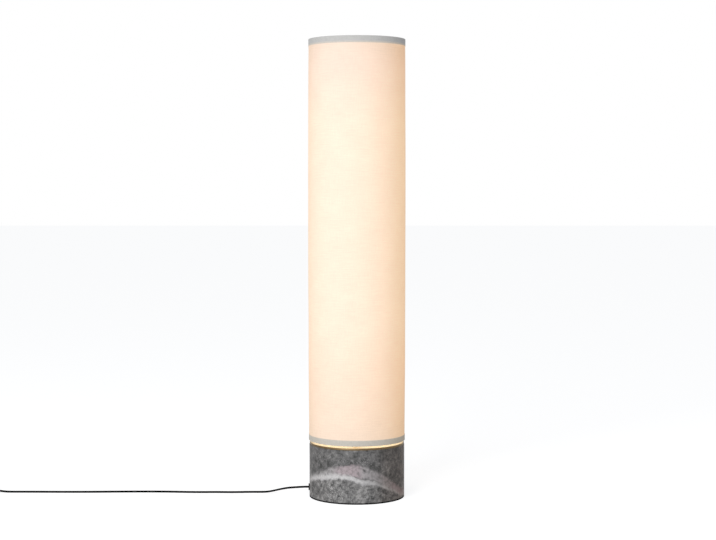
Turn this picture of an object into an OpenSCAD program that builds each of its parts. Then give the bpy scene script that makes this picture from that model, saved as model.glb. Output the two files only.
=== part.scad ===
// Column floor lamp: a tall fabric drum standing just clear of a brass plate on a
// round marble block. All sizes are in millimetres. +Z is up, the origin is the
// middle of the underside, and the cord leaves the base towards -X.

/* [Marble base] */
// Diameter of the marble block
base_d = 167; // [152:1:185]
// Height of the marble block
marble_h = 91.5; // [80:0.5:130]
// Bevel on the marble's two outer edges
marble_bevel = 0.8; // [0.4:0.1:3]
// Diameter of the hollow under the marble that holds the wiring
hollow_d = 62; // [58:1:66]
// Height of that hollow above the bottom cover
hollow_h = 48; // [40:1:60]
// Thickness of the foam pad under the marble
pad_t = 2; // [1.8:0.1:5]
// Gap round the bottom cover, inside the pad's ring
pad_gap = 1; // [0.5:0.1:3]

/* [Bottom cover] */
// Diameter of the steel cover that closes the hollow
cover_d = 76; // [74:1:80]
// Thickness of the cover
cover_t = 1.5; // [1:0.1:3]
// Clearance between the cover's rim and its recess
cover_gap = 0.3; // [0.1:0.05:0.6]
// Number of cover screws
cover_screw_count = 3; // [3:1:6]
// Shank diameter of the cover screws
cover_screw_d = 2.5; // [2:0.1:2.8]
// Shank length of the cover screws, from under the head
cover_screw_l = 9; // [7:0.5:14]
// Head diameter of the cover screws
cover_head_d = 4.6; // [4:0.1:5.2]
// Head height of the cover screws
cover_head_h = 1.3; // [0.8:0.1:1.6]
// Outer diameter of the threaded inserts in the marble
insert_d = 4.4; // [3.8:0.1:4.8]
// Length of the threaded inserts
insert_l = 6; // [4:0.5:10]

/* [Brass plate] */
// How far the plate's rim lies inside the marble's
plate_inset = 0.7; // [0.2:0.1:14]
// Thickness of the plate
plate_t = 3.5; // [1:0.1:4]

/* [Stem] */
// Outer diameter of the threaded stem tube
stem_d = 10; // [9.2:0.1:11]
// Bore of the stem tube
stem_bore = 7.2; // [6.8:0.1:7.6]
// Length of stem below the hollow's ceiling
stem_tail = 12; // [10:0.5:14]
// Length of stem above the seat that carries the shade
stem_tip = 15; // [10:0.5:16]
// Diameter of the washer under the marble
washer_d = 30; // [24:1:40]
// Thickness of the washer
washer_t = 2; // [1:0.5:4]
// Width across the corners of the two hexagon nuts
nut_d = 19.6; // [17:0.1:24]
// Height of the two hexagon nuts
nut_h = 5; // [3:0.5:7]
// Diameter of the collar that the shade's hub rests on
seat_d = 18; // [15:0.5:24]
// Height of that collar
seat_h = 5; // [3:0.5:10]
// Radial clearance of what is fixed round the stem
stem_fit = 0.05; // [0.02:0.01:0.1]

/* [Shade] */
// Outer diameter of the fabric
shade_d = 168; // [160:0.2:200]
// Height of the shade over its trims
shade_h = 699.5; // [690:0.5:760]
// Gap between the brass plate and the shade
shade_gap = 3.5; // [2:0.5:12]
// Thickness of the linen
fabric_t = 0.6; // [0.4:0.1:1]
// Thickness of the stiff liner that the linen is glued to
liner_t = 0.5; // [0.3:0.1:1]
// Thickness of the glue between the shade's layers
glue_t = 0.05; // [0.02:0.01:0.1]
// Thickness of the grey tape that binds both rims
trim_t = 0.35; // [0.2:0.05:0.6]
// Height of the tape at the top rim
trim_top_h = 12; // [8:0.5:20]
// Height of the tape at the bottom rim
trim_bottom_h = 10.2; // [8:0.1:20]
// Height of the tape's fold inside each rim
trim_fold_h = 2.5; // [1.5:0.1:3]

/* [Shade frame] */
// Diameter of the wire of the two shade rings
ring_wire_d = 3.2; // [2.5:0.1:4]
// Distance from each rim to the centre of its ring
ring_inset = 6; // [5.5:0.1:9]
// Diameter of the wire of the three arms
arm_wire_d = 3.6; // [3:0.1:5]
// Diameter of the hub that sits on the stem
hub_d = 22; // [18:0.5:30]
// Thickness of the hub
hub_t = 4; // [3.6:0.1:6]
// Distance from the shade's top rim down to the top of the hub
hub_drop = 32; // [28:0.5:38]
// Radius at which the arms start to rise to the ring
arm_bend_r = 58; // [50:1:65]
// Radial clearance of what lifts off the stem
lift_fit = 0.3; // [0.2:0.05:0.4]
// Diameter of the finial's base
finial_d = 16; // [14:0.5:24]
// Height of the finial
finial_h = 22; // [20:0.5:25]
// Depth of the finial's threaded hole
finial_hole = 17; // [16.5:0.5:18]

/* [Lampholders] */
// Height of the lowest arm above the brass plate
first_arm_z = 48.5; // [38:0.5:60]
// Distance from the shade's top rim down to the highest arm
last_arm_drop = 190; // [172:1:240]
// Distance from the stem's axis to a bulb's axis
bulb_offset = 30; // [28.5:0.5:45]
// Thickness of the steel arms
arm_t = 3; // [2:0.5:5]
// Width of the steel arms
arm_w = 8; // [5:0.5:12]
// Diameter of an arm's sleeve on the stem
sleeve_d = 15; // [14.5:0.5:17]
// Height of an arm's sleeve on the stem
sleeve_h = 9; // [6:0.5:14]
// Outer diameter of a lampholder
holder_d = 26; // [22:0.5:28]
// Height of a lampholder
holder_h = 36; // [30:0.5:42]
// Inner diameter of a lampholder
holder_bore = 16.8; // [16.4:0.1:18]
// Thickness of a lampholder's floor
holder_floor = 10; // [6:0.5:12]
// Hole for the wires in an arm and a lampholder's floor
wire_hole = 4.4; // [3.8:0.1:5]

/* [Bulbs] */
// Outer diameter of the screw cap
cap_d = 13.9; // [13:0.1:14.2]
// Diameter of the contact at the end of the cap
eyelet_d = 4.8; // [4:0.1:6]
// Height of that contact
eyelet_h = 2.5; // [1.5:0.1:4]
// Radial clearance between the cap and the lampholder's shell
cap_fit = 0.4; // [0.3:0.05:0.5]
// Diameter of the globe
globe_d = 45; // [40:1:46]
// Height of the globe above the cap
globe_h = 56.5; // [52:0.5:60]
// Diameter of the globe's neck
neck_d = 20; // [16:0.5:24]
// Wall of the globe
globe_wall = 1; // [0.6:0.1:2]

/* [Wiring in the base] */
// Height of the cord's axis where it leaves the base
exit_z = 15.5; // [14.5:0.5:17]
// Diameter of the hole through the marble for the cord
exit_hole_d = 8.4; // [8:0.1:10]
// Diameter of the gland's flange
gland_d = 12; // [11:0.5:16]
// Thickness of the gland's flange
gland_flange = 1.6; // [1:0.1:4]
// Length of the gland's barrel inside the hole
gland_barrel = 14; // [8:0.5:30]
// Length of the terminal block
block_l = 24; // [18:0.5:28]
// Width of the terminal block
block_w = 17; // [14:0.5:20]
// Height of the terminal block
block_h = 16; // [14:0.5:18]
// Diameter of the terminal screws
terminal_screw_d = 3.6; // [3:0.1:4]
// Distance from the stem's axis to the cord clamp
clamp_x = 23; // [20:0.5:24]
// Length of the cord clamp along the cord
clamp_l = 7; // [5:0.5:8]
// Width of the cord clamp across the cord
clamp_w = 20; // [18:0.5:24]
// Thickness of the clamp's bar
clamp_t = 2.4; // [1.5:0.1:4]
// Diameter of the clamp's two screws
clamp_screw_d = 2.9; // [2.5:0.1:3.5]
// Diameter of a wire inside the stem
wire_d = 2; // [1.6:0.1:2.4]

/* [Cord] */
// Width of the flat two-core cord
cord_w = 5.2; // [4.8:0.1:5.4]
// Thickness of the cord
cord_h = 3.2; // [2.8:0.1:3.2]
// Turns in each of the coil's two layers, which half turns join
coil_turns = 3.25; // [2.25:1:4.25]
// Radius of the coil's innermost turn
coil_inner_r = 21.4; // [21:0.1:24]
// Distance from one turn to the next
coil_pitch = 5.9; // [5.9:0.05:6.5]
// Rise from one layer to the next
layer_rise = 3.75; // [3.7:0.05:5]
// Width of the tie round the coil
tie_w = 9; // [6:0.5:14]
// Thickness of the tie
tie_t = 0.6; // [0.4:0.1:0.6]
// Clearance between the tie and the turns
tie_gap = 0.3; // [0.2:0.05:0.35]

/* [Cord switch] */
// Length of the switch's housing
switch_l = 60; // [58:1:64]
// Width of the housing
switch_w = 26; // [24:0.5:30]
// Height of the housing's lower half
switch_base_h = 10; // [9.5:0.1:12]
// Height of the housing's upper half
switch_cover_h = 7; // [6:0.1:9]
// Wall of the housing
switch_wall = 1.8; // [1.2:0.1:2.2]
// Radius of the housing's corners
switch_corner = 8; // [5:0.5:11]
// Length of the rocker
rocker_l = 19; // [16:0.5:20]
// Width of the rocker
rocker_w = 8.4; // [7:0.1:9]
// Gap between the rocker and its slot at each side
rocker_gap = 0.3; // [0.25:0.05:0.5]
// Tilt of the rocker to either side of level
rocker_tilt = 8; // [5:0.5:9]
// Diameter of the rocker's pivot pin
pivot_d = 2.4; // [2:0.1:3]

/* [Plug] */
// Length of the plug's body
plug_l = 36; // [32:0.5:40]
// Width of the plug's body at the pins
plug_w = 35; // [32:0.5:38]
// Width of the plug's body at the cord
plug_tail_w = 18; // [14:0.5:24]
// Thickness of the plug's body
plug_t = 13.7; // [12:0.1:16]
// Distance between the two pins
pin_spacing = 18.6; // [17:0.1:20]
// Diameter of the pins
pin_d = 4; // [3.6:0.1:4.8]
// Length of the pins
pin_l = 19; // [16:0.5:22]
// Length of the tapered sleeves where the cord enters the plug and the switch
sleeve_l = 14; // [10:0.5:15]

/* [Hidden] */
$fn = 96;
cut = 1;
levels = [1, 2, 3];

base_r = base_d / 2;
stem_r = stem_d / 2;
cover_r = cover_d / 2;
hollow_r = hollow_d / 2;
marble_z = pad_t;
cover_top_z = marble_z + cover_t;
hollow_top_z = cover_top_z + hollow_h;
marble_top_z = marble_z + marble_h;
plate_top_z = marble_top_z + plate_t;
shade_z = plate_top_z + shade_gap;
top_z = shade_z + shade_h;
stem_hole_gap = 0.2;
stem_hole_r = stem_r + stem_hole_gap;
stem_z = hollow_top_z - stem_tail;
hub_top_z = top_z - hub_drop;
seat_top_z = hub_top_z - hub_t;
lowest_arm_z = plate_top_z + first_arm_z;
arm_step = (top_z - last_arm_drop - lowest_arm_z) / (len(levels) - 1);
stem_top_z = seat_top_z + stem_tip;
washer_z = hollow_top_z - washer_t;
cover_screw_r = (hollow_r + cover_r) / 2;
insert_fit = 0.05;
insert_hole_spare = 2;
cover_hole_clear = 0.2;

// Radii of the shade's layers, from the outside in
fabric_r = shade_d / 2;
fabric_in_r = fabric_r - fabric_t;
liner_r = fabric_in_r - glue_t;
liner_in_r = liner_r - liner_t;
trim_r = fabric_r + glue_t + trim_t;
fold_in_r = liner_in_r - glue_t - trim_t;
ring_r = liner_in_r - glue_t - ring_wire_d / 2;
layers_z = shade_z + trim_t + glue_t;
layers_h = shade_h - 2 * (trim_t + glue_t);
top_ring_z = top_z - ring_inset;
bottom_ring_z = shade_z + ring_inset;
arm_angles = [90, 210, 330];

bulb_angles = [-90, 30, 150];
arm_ring_inset = 3.9;
holder_edge = 1;
shell_gap = 0.25;
contact_h = 4.5;
contact_d = 4.4;
contact_bore = wire_hole + 0.2;
shell_foot = 2;

terminal_z = cover_top_z + block_h;
terminal_hole_depth = 8;
clamp_screw_foot = 2;
clamp_screw_head_h = 1.6;
clamp_edge = 1.6;
clamp_screw_y = clamp_w / 2 - clamp_screw_d / 2 - clamp_edge;
screw_fit = 0.05;
wire_exit_d = 5.8;
wire_exit_drop = 19;
wire_r = 2.05;
wire_sides = 8;
core_gap = 0.05;

coil_rings_per_turn = 24;
coil_sides = 6;
cord_sides = 8;
lie_z = cord_h / 2;
coil_z = lie_z + tie_t + tie_gap;
coil_outer_r = coil_inner_r + coil_pitch * coil_turns;
// Middle of the switch and of the coil on the floor, and the cord's end at the plug
switch_at = [-700, 26];
coil_at = [-776, switch_at[1] - coil_outer_r];
plug_at = [-738, switch_at[1] - 2 * coil_outer_r];
port_z = 5;
sleeve_big_r = 4.2;
sleeve_small_r = 3;
plug_sleeve_r = 5.2;
plug_z = plug_t / 2;
pin_seat = 5;
switch_port = switch_l / 2 + sleeve_l;

// Route of the cord from the gland to the switch: out level, down in a long
// easy fall, then along the floor nearly straight
run_route = [
    [-base_r - gland_flange, 0, exit_z], [-92, 0, exit_z], [-103, 0, 15], [-111, 0.5, 14.4],
    [-118, 1.5, 13.7], [-125, 3, 12.6], [-132, 5.5, 10.9], [-139, 8.5, 8.9], [-146, 12, 6.7],
    [-153, 16, 4.6], [-160, 20, 2.9], [-168, 23, 2], [-178, 24.5, lie_z], [-190, 24.5, lie_z],
    [-205, 23.5, lie_z], [-225, 22.5, lie_z], [-250, 23.5, lie_z], [-280, 23, lie_z],
    [-305, 24, lie_z], [-325, 26, lie_z], [-350, 27.5, lie_z], [-385, 28, lie_z],
    [-430, 27, lie_z], [-480, 25, lie_z], [-530, 25, lie_z], [-580, 26, lie_z],
    [-610, 26, lie_z], [-625, 26, 2], [-637, 26, 3.4], [-647, 26, 4.7],
    [switch_at[0] + switch_port, switch_at[1], port_z]
];
// Route from the switch to the coil
link_route = [
    [switch_at[0] - switch_port, switch_at[1], port_z], [-750, switch_at[1], 4.6],
    [-757, switch_at[1], 3.6], [-764, switch_at[1], 2.8], [coil_at[0] + cord_w, switch_at[1], coil_z]
];
// Route from the coil to the plug
tail_route = [
    [coil_at[0] + cord_w, plug_at[1], coil_z + layer_rise], [-766, plug_at[1], 6.1],
    [-760, plug_at[1], 5.7], [-754, plug_at[1], 5.6], [-748, plug_at[1], 6],
    [-743, plug_at[1], 6.6], [plug_at[0], plug_at[1], plug_z]
];
// Rings between two neighbouring points of the long run
run_steps = 2;

// ---------- Shapes that repeat ----------

// A ring or tube round the Z axis
module tube(outer_r, inner_r, h, z = 0) {
    translate([0, 0, z]) difference() {
        cylinder(r = outer_r, h = h);
        translate([0, 0, -cut]) cylinder(r = inner_r, h = h + 2 * cut);
    }
}

// A flat outline with round corners
module rounded(l, w, r) {
    square([l - 2 * r, w], center = true);
    square([l, w - 2 * r], center = true);
    for (x = [-1, 1], y = [-1, 1]) translate([x * (l / 2 - r), y * (w / 2 - r)]) circle(r = r);
}

// The outline of the flat cord, with an even gap round it
module cord_outline(gap = 0) {
    side = (cord_w - cord_h) / 2;
    square([2 * side, cord_h + 2 * gap], center = true);
    for (x = [-1, 1]) translate([x * side, 0]) circle(r = cord_h / 2 + gap);
}

// Its copies go round the Z axis at equal angles
module around(count, r, turn = 0) {
    for (i = [0:count - 1]) rotate([0, 0, turn + 360 * i / count]) translate([r, 0, 0]) children();
}

// A straight rod with round ends between two points
module rod(a, b, r) {
    d = b - a;
    translate(a) rotate([0, acos(d[2] / norm(d)), atan2(d[1], d[0])]) cylinder(r = r, h = norm(d));
    translate(a) sphere(r = r);
    translate(b) sphere(r = r);
}

// ---------- Swept cords and wires ----------

// A point of the smooth curve between b and c, at the share u of the way
function curve_point(a, b, c, d, u) = 0.5 * (2 * b + (c - a) * u + (2 * a - 5 * b + 4 * c - d) * u * u
    + (3 * b - a - 3 * c + d) * u * u * u);

// The smooth curve through all the points of a route
function smooth(p, steps) = let (last = len(p) - 1) concat(
    [for (i = [0:last - 1], k = [0:steps - 1])
        curve_point(p[max(i - 1, 0)], p[i], p[i + 1], p[min(i + 2, last)], k / steps)],
    [p[last]]);

function unit(v) = v / norm(v);

// The section's corners: flats lie above, below and at the sides
function section(w, h, sides) = let (square_on = sides % 4 == 0) [for (k = [0:sides - 1])
    let (a = 360 * k / sides + (square_on ? 180 / sides : 0))
    [w / 2 * cos(a) / (square_on ? cos(180 / sides) : 1), h / 2 * sin(a) / cos(180 / sides)]];

// The section's corners set square to the route at its point i. The section's
// width lies along level, or sideways to the route where level is left out
function ring_points(route, i, corners, level) = let (
    last = len(route) - 1,
    ahead = unit(route[min(i + 1, last)] - route[max(i - 1, 0)]),
    across = is_undef(level) ? unit(cross(ahead, [0, 0, 1])) : level,
    above = cross(across, ahead))
    [for (c = corners) route[i] + across * c[0] + above * c[1]];

function all_rings(route, w, h, sides, level) = [for (i = [0:len(route) - 1])
    ring_points(route, i, section(w, h, sides), level)];

module sweep(route, w, h, sides, level) {
    last = len(route) - 1;
    rings = all_rings(route, w, h, sides, level);
    skin = [for (i = [0:last - 1], k = [0:sides - 1])
        let (a = i * sides + k, b = i * sides + (k + 1) % sides)
        each [[a, a + sides, b + sides], [a, b + sides, b]]];
    ends = [for (k = [1:sides - 2]) each [[0, k, k + 1],
        [last * sides, last * sides + k + 1, last * sides + k]]];
    polyhedron(points = [for (r = rings) each r], faces = concat(skin, ends));
}

// ---------- Base ----------

module base_pad() {
    color("#1c1c1c") tube(base_r, cover_r + cover_gap + pad_gap, pad_t);
}

module marble_base() {
    recess_r = cover_r + cover_gap;
    color("#6b6865") difference() {
        rotate_extrude() polygon([
            [stem_hole_r, hollow_top_z], [hollow_r, hollow_top_z], [hollow_r, cover_top_z],
            [recess_r, cover_top_z], [recess_r, marble_z], [base_r - marble_bevel, marble_z],
            [base_r, marble_z + marble_bevel], [base_r, marble_top_z - marble_bevel],
            [base_r - marble_bevel, marble_top_z], [stem_hole_r, marble_top_z]]);
        around(cover_screw_count, cover_screw_r, 60)
            translate([0, 0, cover_top_z - cut])
                cylinder(d = insert_d + 2 * insert_fit,
                         h = cut + max(insert_l, cover_screw_l) + insert_hole_spare);
        translate([-hollow_r / 2, 0, exit_z]) rotate([0, -90, 0])
            cylinder(d = exit_hole_d, h = base_r);
    }
}

module bottom_cover() {
    color("#b9bcc0") difference() {
        translate([0, 0, marble_z]) cylinder(r = cover_r, h = cover_t);
        around(cover_screw_count, cover_screw_r, 60) translate([0, 0, marble_z - cut])
            cylinder(d = cover_screw_d + 2 * cover_hole_clear, h = cover_t + 2 * cut);
    }
}

// Pan-head screws, up through the cover into the inserts
module cover_screws() {
    driver_slot = [cover_head_d * 0.6, 0.6, cover_head_h];
    color("#8f9398") around(cover_screw_count, cover_screw_r, 60) difference() {
        union() {
            translate([0, 0, marble_z - cover_head_h]) cylinder(d = cover_head_d, h = cover_head_h);
            translate([0, 0, marble_z - cover_head_h / 2])
                cylinder(d = cover_screw_d, h = cover_screw_l + cover_head_h / 2);
        }
        for (a = [0, 90]) rotate([0, 0, a]) translate([0, 0, marble_z - cover_head_h])
            cube(driver_slot, center = true);
    }
}

module cover_inserts() {
    color("#b8933f") around(cover_screw_count, cover_screw_r, 60)
        tube(insert_d / 2, cover_screw_d / 2 + insert_fit, insert_l, cover_top_z);
}

module brass_plate() {
    color("#a9823c") tube(base_r - plate_inset, stem_hole_r, plate_t, marble_top_z);
}

// ---------- Stem ----------

module stem_tube() {
    color("#c9a75a") difference() {
        tube(stem_r, stem_bore / 2, stem_top_z - stem_z, stem_z);
        for (k = levels) rotate([0, 0, bulb_angles[k - 1]]) translate([0, 0, wire_exit_z(k)])
            rotate([0, 90, 0]) cylinder(d = wire_exit_d, h = stem_d);
    }
}

module stem_washer() {
    color("#b9bcc0") tube(washer_d / 2, stem_r + stem_fit, washer_t, washer_z);
}

module hexagon_nut(z) {
    translate([0, 0, z]) difference() {
        cylinder(d = nut_d, h = nut_h, $fn = 6);
        translate([0, 0, -cut]) cylinder(r = stem_r + stem_fit, h = nut_h + 2 * cut);
    }
}

module lower_nut() {
    color("#b9bcc0") hexagon_nut(washer_z - nut_h);
}

module upper_nut() {
    color("#c9a75a") hexagon_nut(plate_top_z);
}

// The collar that carries the shade's hub
module shade_seat() {
    color("#c9a75a") tube(seat_d / 2, stem_r + stem_fit, seat_h, seat_top_z - seat_h);
}

// ---------- Lampholders and bulbs ----------

function arm_z(k) = lowest_arm_z + (k - 1) * arm_step;
function holder_z(k) = arm_z(k) + arm_t;
function cap_z(k) = holder_z(k) + holder_floor + contact_h;
function globe_z(k) = holder_z(k) + holder_h;
function wire_exit_z(k) = arm_z(k) - wire_exit_drop;

module at_bulb(k, z) {
    rotate([0, 0, bulb_angles[k - 1]]) translate([bulb_offset, 0, z]) children();
}

// Steel arm: a sleeve on the stem, a flat strip, and a ring under the lampholder
module lamp_arm(k) {
    sleeve_low = (sleeve_h - arm_t) / 2;
    color("#d8d8d6") rotate([0, 0, bulb_angles[k - 1]]) difference() {
        union() {
            translate([0, 0, arm_z(k) - sleeve_low]) cylinder(d = sleeve_d, h = sleeve_h);
            translate([0, -arm_w / 2, arm_z(k)]) cube([bulb_offset, arm_w, arm_t]);
            translate([bulb_offset, 0, arm_z(k)]) cylinder(r = holder_d / 2 - arm_ring_inset, h = arm_t);
        }
        translate([0, 0, arm_z(k) - sleeve_low - cut])
            cylinder(r = stem_r + stem_fit, h = sleeve_h + 2 * cut);
        translate([bulb_offset, 0, arm_z(k) - cut]) cylinder(d = wire_hole, h = arm_t + 2 * cut);
    }
}

// White moulded holder, open at the top and with a hole for the wires below
module lampholder(k) {
    color("#f1efe9") at_bulb(k, holder_z(k)) rotate_extrude() polygon([
        [wire_hole / 2, 0], [holder_d / 2 - holder_edge, 0], [holder_d / 2, holder_edge],
        [holder_d / 2, holder_h - holder_edge], [holder_d / 2 - holder_edge, holder_h],
        [holder_bore / 2, holder_h], [holder_bore / 2, holder_floor], [contact_bore / 2, holder_floor],
        [contact_bore / 2, holder_floor / 2], [wire_hole / 2, holder_floor / 2]]);
}

// The threaded shell that the cap screws into, and the stud that it ends on
module contacts(k) {
    color("#c7a24e") at_bulb(k, holder_z(k)) {
        tube(holder_bore / 2 - shell_gap, cap_d / 2 + cap_fit,
             holder_h - holder_floor - shell_foot, holder_floor);
        translate([0, 0, holder_floor / 2])
            cylinder(d = contact_d, h = holder_floor / 2 + contact_h);
    }
}

// Wires from the terminal block up the stem, out of its side and under the arm
function wire_path(k) = let (z = arm_z(k), far = bulb_offset) [
    [wire_r, terminal_z], [wire_r, z - 28], [wire_r + 0.35, z - 23], [3.4, z - 19.8], [5.2, z - 18],
    [8, z - 15.8], [12, z - 13], [far - 14, z - 10.5], [far - 8, z - 8.8], [far - 3, z - 7.2],
    [far - 0.5, z - 4.8], [far, z - 2], [far, holder_z(k) + holder_floor / 2]];

module wires(k) {
    a = bulb_angles[k - 1];
    route = [for (p = wire_path(k)) [p[0] * cos(a), p[0] * sin(a), p[1]]];
    color("#b03a2e") sweep(route, wire_d, wire_d, wire_sides, [-sin(a), cos(a), 0]);
}

// Screw cap: the end contact, a cone of insulation and the threaded shell
module bulb_cap(k) {
    cone_h = 2;
    cone_d = cap_d * 0.7;
    shell_z = eyelet_h + cone_h;
    color("#c9c9c9") at_bulb(k, cap_z(k)) {
        cylinder(d = eyelet_d, h = eyelet_h);
        translate([0, 0, eyelet_h]) cylinder(d1 = cone_d, d2 = cap_d, h = cone_h);
        translate([0, 0, shell_z]) cylinder(d = cap_d, h = globe_z(k) - cap_z(k) - shell_z);
    }
}

// Half outline of the globe: a neck that opens into a ball, drawn in by inset.
// The neck's cone meets the ball at a point with the 3:4:5 slope
module globe_half(inset) {
    ball_r = globe_d / 2;
    meet_r = ball_r * 4 / 5;
    meet_z = globe_h - ball_r - ball_r * 3 / 5;
    difference() {
        union() {
            translate([0, globe_h - ball_r]) circle(r = ball_r - inset);
            polygon([[0, 0], [neck_d / 2 - inset, 0], [meet_r - inset, meet_z], [0, meet_z]]);
        }
        translate([-globe_d, -globe_d]) square([globe_d, 4 * globe_d]);
    }
}

module bulb_globe(k) {
    color("#fff4dc") at_bulb(k, globe_z(k)) difference() {
        rotate_extrude() globe_half(0);
        translate([0, 0, globe_wall]) rotate_extrude() intersection() {
            globe_half(globe_wall);
            square([globe_d, globe_h - 2 * globe_wall]);
        }
    }
}

// ---------- Shade ----------

module shade_fabric() {
    color("#f3e3c4") tube(fabric_r, fabric_in_r, layers_h, layers_z);
}

module shade_liner() {
    color("#f7efe0") tube(liner_r, liner_in_r, layers_h, layers_z);
}

// Grey tape folded over a rim: a tall leg outside, a short one inside
module rim_tape(h) {
    rotate_extrude() polygon([
        [trim_r, 0], [trim_r, h], [fabric_r + glue_t, h], [fabric_r + glue_t, trim_t],
        [liner_in_r - glue_t, trim_t], [liner_in_r - glue_t, trim_fold_h],
        [fold_in_r, trim_fold_h], [fold_in_r, 0]]);
}

module top_trim() {
    color("#b9b6b1") translate([0, 0, top_z]) mirror([0, 0, 1]) rim_tape(trim_top_h);
}

module bottom_trim() {
    color("#b9b6b1") translate([0, 0, shade_z]) rim_tape(trim_bottom_h);
}

module wire_ring(z) {
    translate([0, 0, z]) rotate_extrude() translate([ring_r, 0]) circle(d = ring_wire_d);
}

// The top ring with its three arms and the hub, welded together
module top_frame() {
    hub_mid_z = hub_top_z - hub_t / 2;
    weld = 0.5;
    root = 2;
    color("#e6e4df") difference() {
        union() {
            wire_ring(top_ring_z);
            translate([0, 0, seat_top_z]) cylinder(d = hub_d, h = hub_t);
            for (a = arm_angles) rotate([0, 0, a]) {
                rod([hub_d / 2 - root, 0, hub_mid_z], [arm_bend_r, 0, hub_mid_z], arm_wire_d / 2);
                rod([arm_bend_r, 0, hub_mid_z], [ring_r - weld, 0, top_ring_z], arm_wire_d / 2);
            }
        }
        translate([0, 0, seat_top_z - cut]) cylinder(r = stem_r + lift_fit, h = hub_t + 2 * cut);
    }
}

module bottom_ring() {
    color("#e6e4df") wire_ring(bottom_ring_z);
}

// Knob on the stem's end that holds the hub down
module finial() {
    r = finial_d / 2;
    foot_h = 3;
    step = 1;
    knob_r = r - step;
    dome_z = finial_h - knob_r;
    color("#c9a75a") translate([0, 0, hub_top_z]) rotate_extrude() difference() {
        union() {
            polygon([[0, 0], [r, 0], [r, foot_h], [knob_r, foot_h + step],
                     [knob_r, dome_z], [0, dome_z]]);
            intersection() {
                translate([0, dome_z]) circle(r = knob_r);
                square([r, finial_h]);
            }
        }
        square([stem_r + lift_fit, finial_hole]);
    }
}

// ---------- Wiring in the base ----------

// Bush in the marble's side, with an oval hole for the flat cord
module cord_gland() {
    color("#161616") translate([-base_r, 0, exit_z]) rotate([90, 0, -90]) difference() {
        union() {
            cylinder(d = gland_d, h = gland_flange);
            translate([0, 0, -gland_barrel]) cylinder(d = exit_hole_d - 0.2, h = gland_barrel + cut);
        }
        translate([0, 0, -gland_barrel - cut])
            linear_extrude(gland_barrel + gland_flange + 2 * cut) cord_outline(core_gap);
    }
}

// The cord from the gland to the terminal block
module inner_cord() {
    color("#111111") translate([-base_r, 0, exit_z]) rotate([90, 0, 90])
        linear_extrude(base_r - block_l / 2) cord_outline();
}

// Block that the cord lies on inside the base
module cord_clamp() {
    foot_h = exit_z - cord_h / 2 - cover_top_z;
    color("#2b2b2b") difference() {
        translate([-clamp_x - clamp_l / 2, -clamp_w / 2, cover_top_z]) cube([clamp_l, clamp_w, foot_h]);
        clamp_holes();
    }
}

module clamp_holes() {
    for (y = [-1, 1]) translate([-clamp_x, y * clamp_screw_y, cover_top_z + clamp_screw_foot])
        cylinder(r = clamp_screw_d / 2 + screw_fit, h = exit_z);
}

module clamp_bar() {
    color("#2b2b2b") difference() {
        translate([-clamp_x - clamp_l / 2, -clamp_w / 2, exit_z + cord_h / 2])
            cube([clamp_l, clamp_w, clamp_t]);
        clamp_holes();
    }
}

module clamp_screws() {
    bar_top_z = exit_z + cord_h / 2 + clamp_t;
    foot_z = cover_top_z + clamp_screw_foot;
    head_d = clamp_screw_d + 2;
    color("#8f9398") for (y = [-1, 1]) translate([-clamp_x, y * clamp_screw_y, 0]) {
        translate([0, 0, foot_z]) cylinder(d = clamp_screw_d, h = bar_top_z - foot_z);
        translate([0, 0, bar_top_z]) cylinder(d = head_d, h = clamp_screw_head_h);
    }
}

// Two-pole connector block, fixed to the cover
module terminal_block() {
    color("#efeee8") difference() {
        translate([-block_l / 2, -block_w / 2, cover_top_z]) cube([block_l, block_w, block_h]);
        at_terminals() cylinder(r = terminal_screw_d / 2 + screw_fit, h = terminal_hole_depth + cut);
    }
}

module at_terminals() {
    for (x = [-1, 1], y = [-1, 1])
        translate([x * block_l / 3, y * block_w / 4, terminal_z - terminal_hole_depth]) children();
}

module terminal_screws() {
    screw_l = terminal_hole_depth - 1;
    driver_slot = [terminal_screw_d * 2, 0.7, 1.6];
    color("#8f9398") at_terminals() difference() {
        cylinder(d = terminal_screw_d, h = screw_l);
        translate([0, 0, screw_l]) cube(driver_slot, center = true);
    }
}

// ---------- Cord on the floor ----------

// The long run, held up by the floor wherever the smooth curve would dip into it
module cord_run() {
    lying = [for (p = smooth(run_route, run_steps)) [p[0], p[1], max(p[2], lie_z)]];
    color("#111111") sweep(lying, cord_w, cord_h, cord_sides);
}

module cord_link() {
    color("#111111") sweep(link_route, cord_w, cord_h, cord_sides);
}

module cord_tail() {
    color("#111111") sweep(tail_route, cord_w, cord_h, cord_sides);
}

// A point of the coil at t turns from its middle: it winds inwards in the lower
// layer, climbs in the half turn where it is narrowest, and winds out again above
function coil_point(t) = let (
    r = coil_inner_r + coil_pitch * abs(t),
    a = 90 + 360 * (t + coil_turns),
    climb = max(0, min(1, 0.5 + 2 * t)))
    [coil_at[0] + r * cos(a), coil_at[1] + r * sin(a), coil_z + layer_rise * climb];

coil_steps = round(coil_turns * coil_rings_per_turn);
coil_route = concat(
    [[coil_at[0] + cord_w, switch_at[1], coil_z]],
    [for (i = [-coil_steps:coil_steps]) coil_point(i / coil_rings_per_turn)],
    [[coil_at[0] + cord_w, plug_at[1], coil_z + layer_rise]]);

module cord_coil() {
    color("#111111") sweep(coil_route, cord_w, cord_h, coil_sides);
}

// Least gap between two turns, measured from corner to corner of their rings
coil_rings = all_rings(coil_route, cord_w, cord_h, coil_sides, undef);
coil_gap = min([for (i = [1:len(coil_rings) - 2], turn = [1:2 * ceil(coil_turns)], near = [-1:1])
    let (j = i + turn * coil_rings_per_turn + near)
    if (j < len(coil_rings) - 1) min([for (p = coil_rings[i], q = coil_rings[j]) norm(p - q)])]);
echo(least_gap_between_turns = coil_gap);

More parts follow.
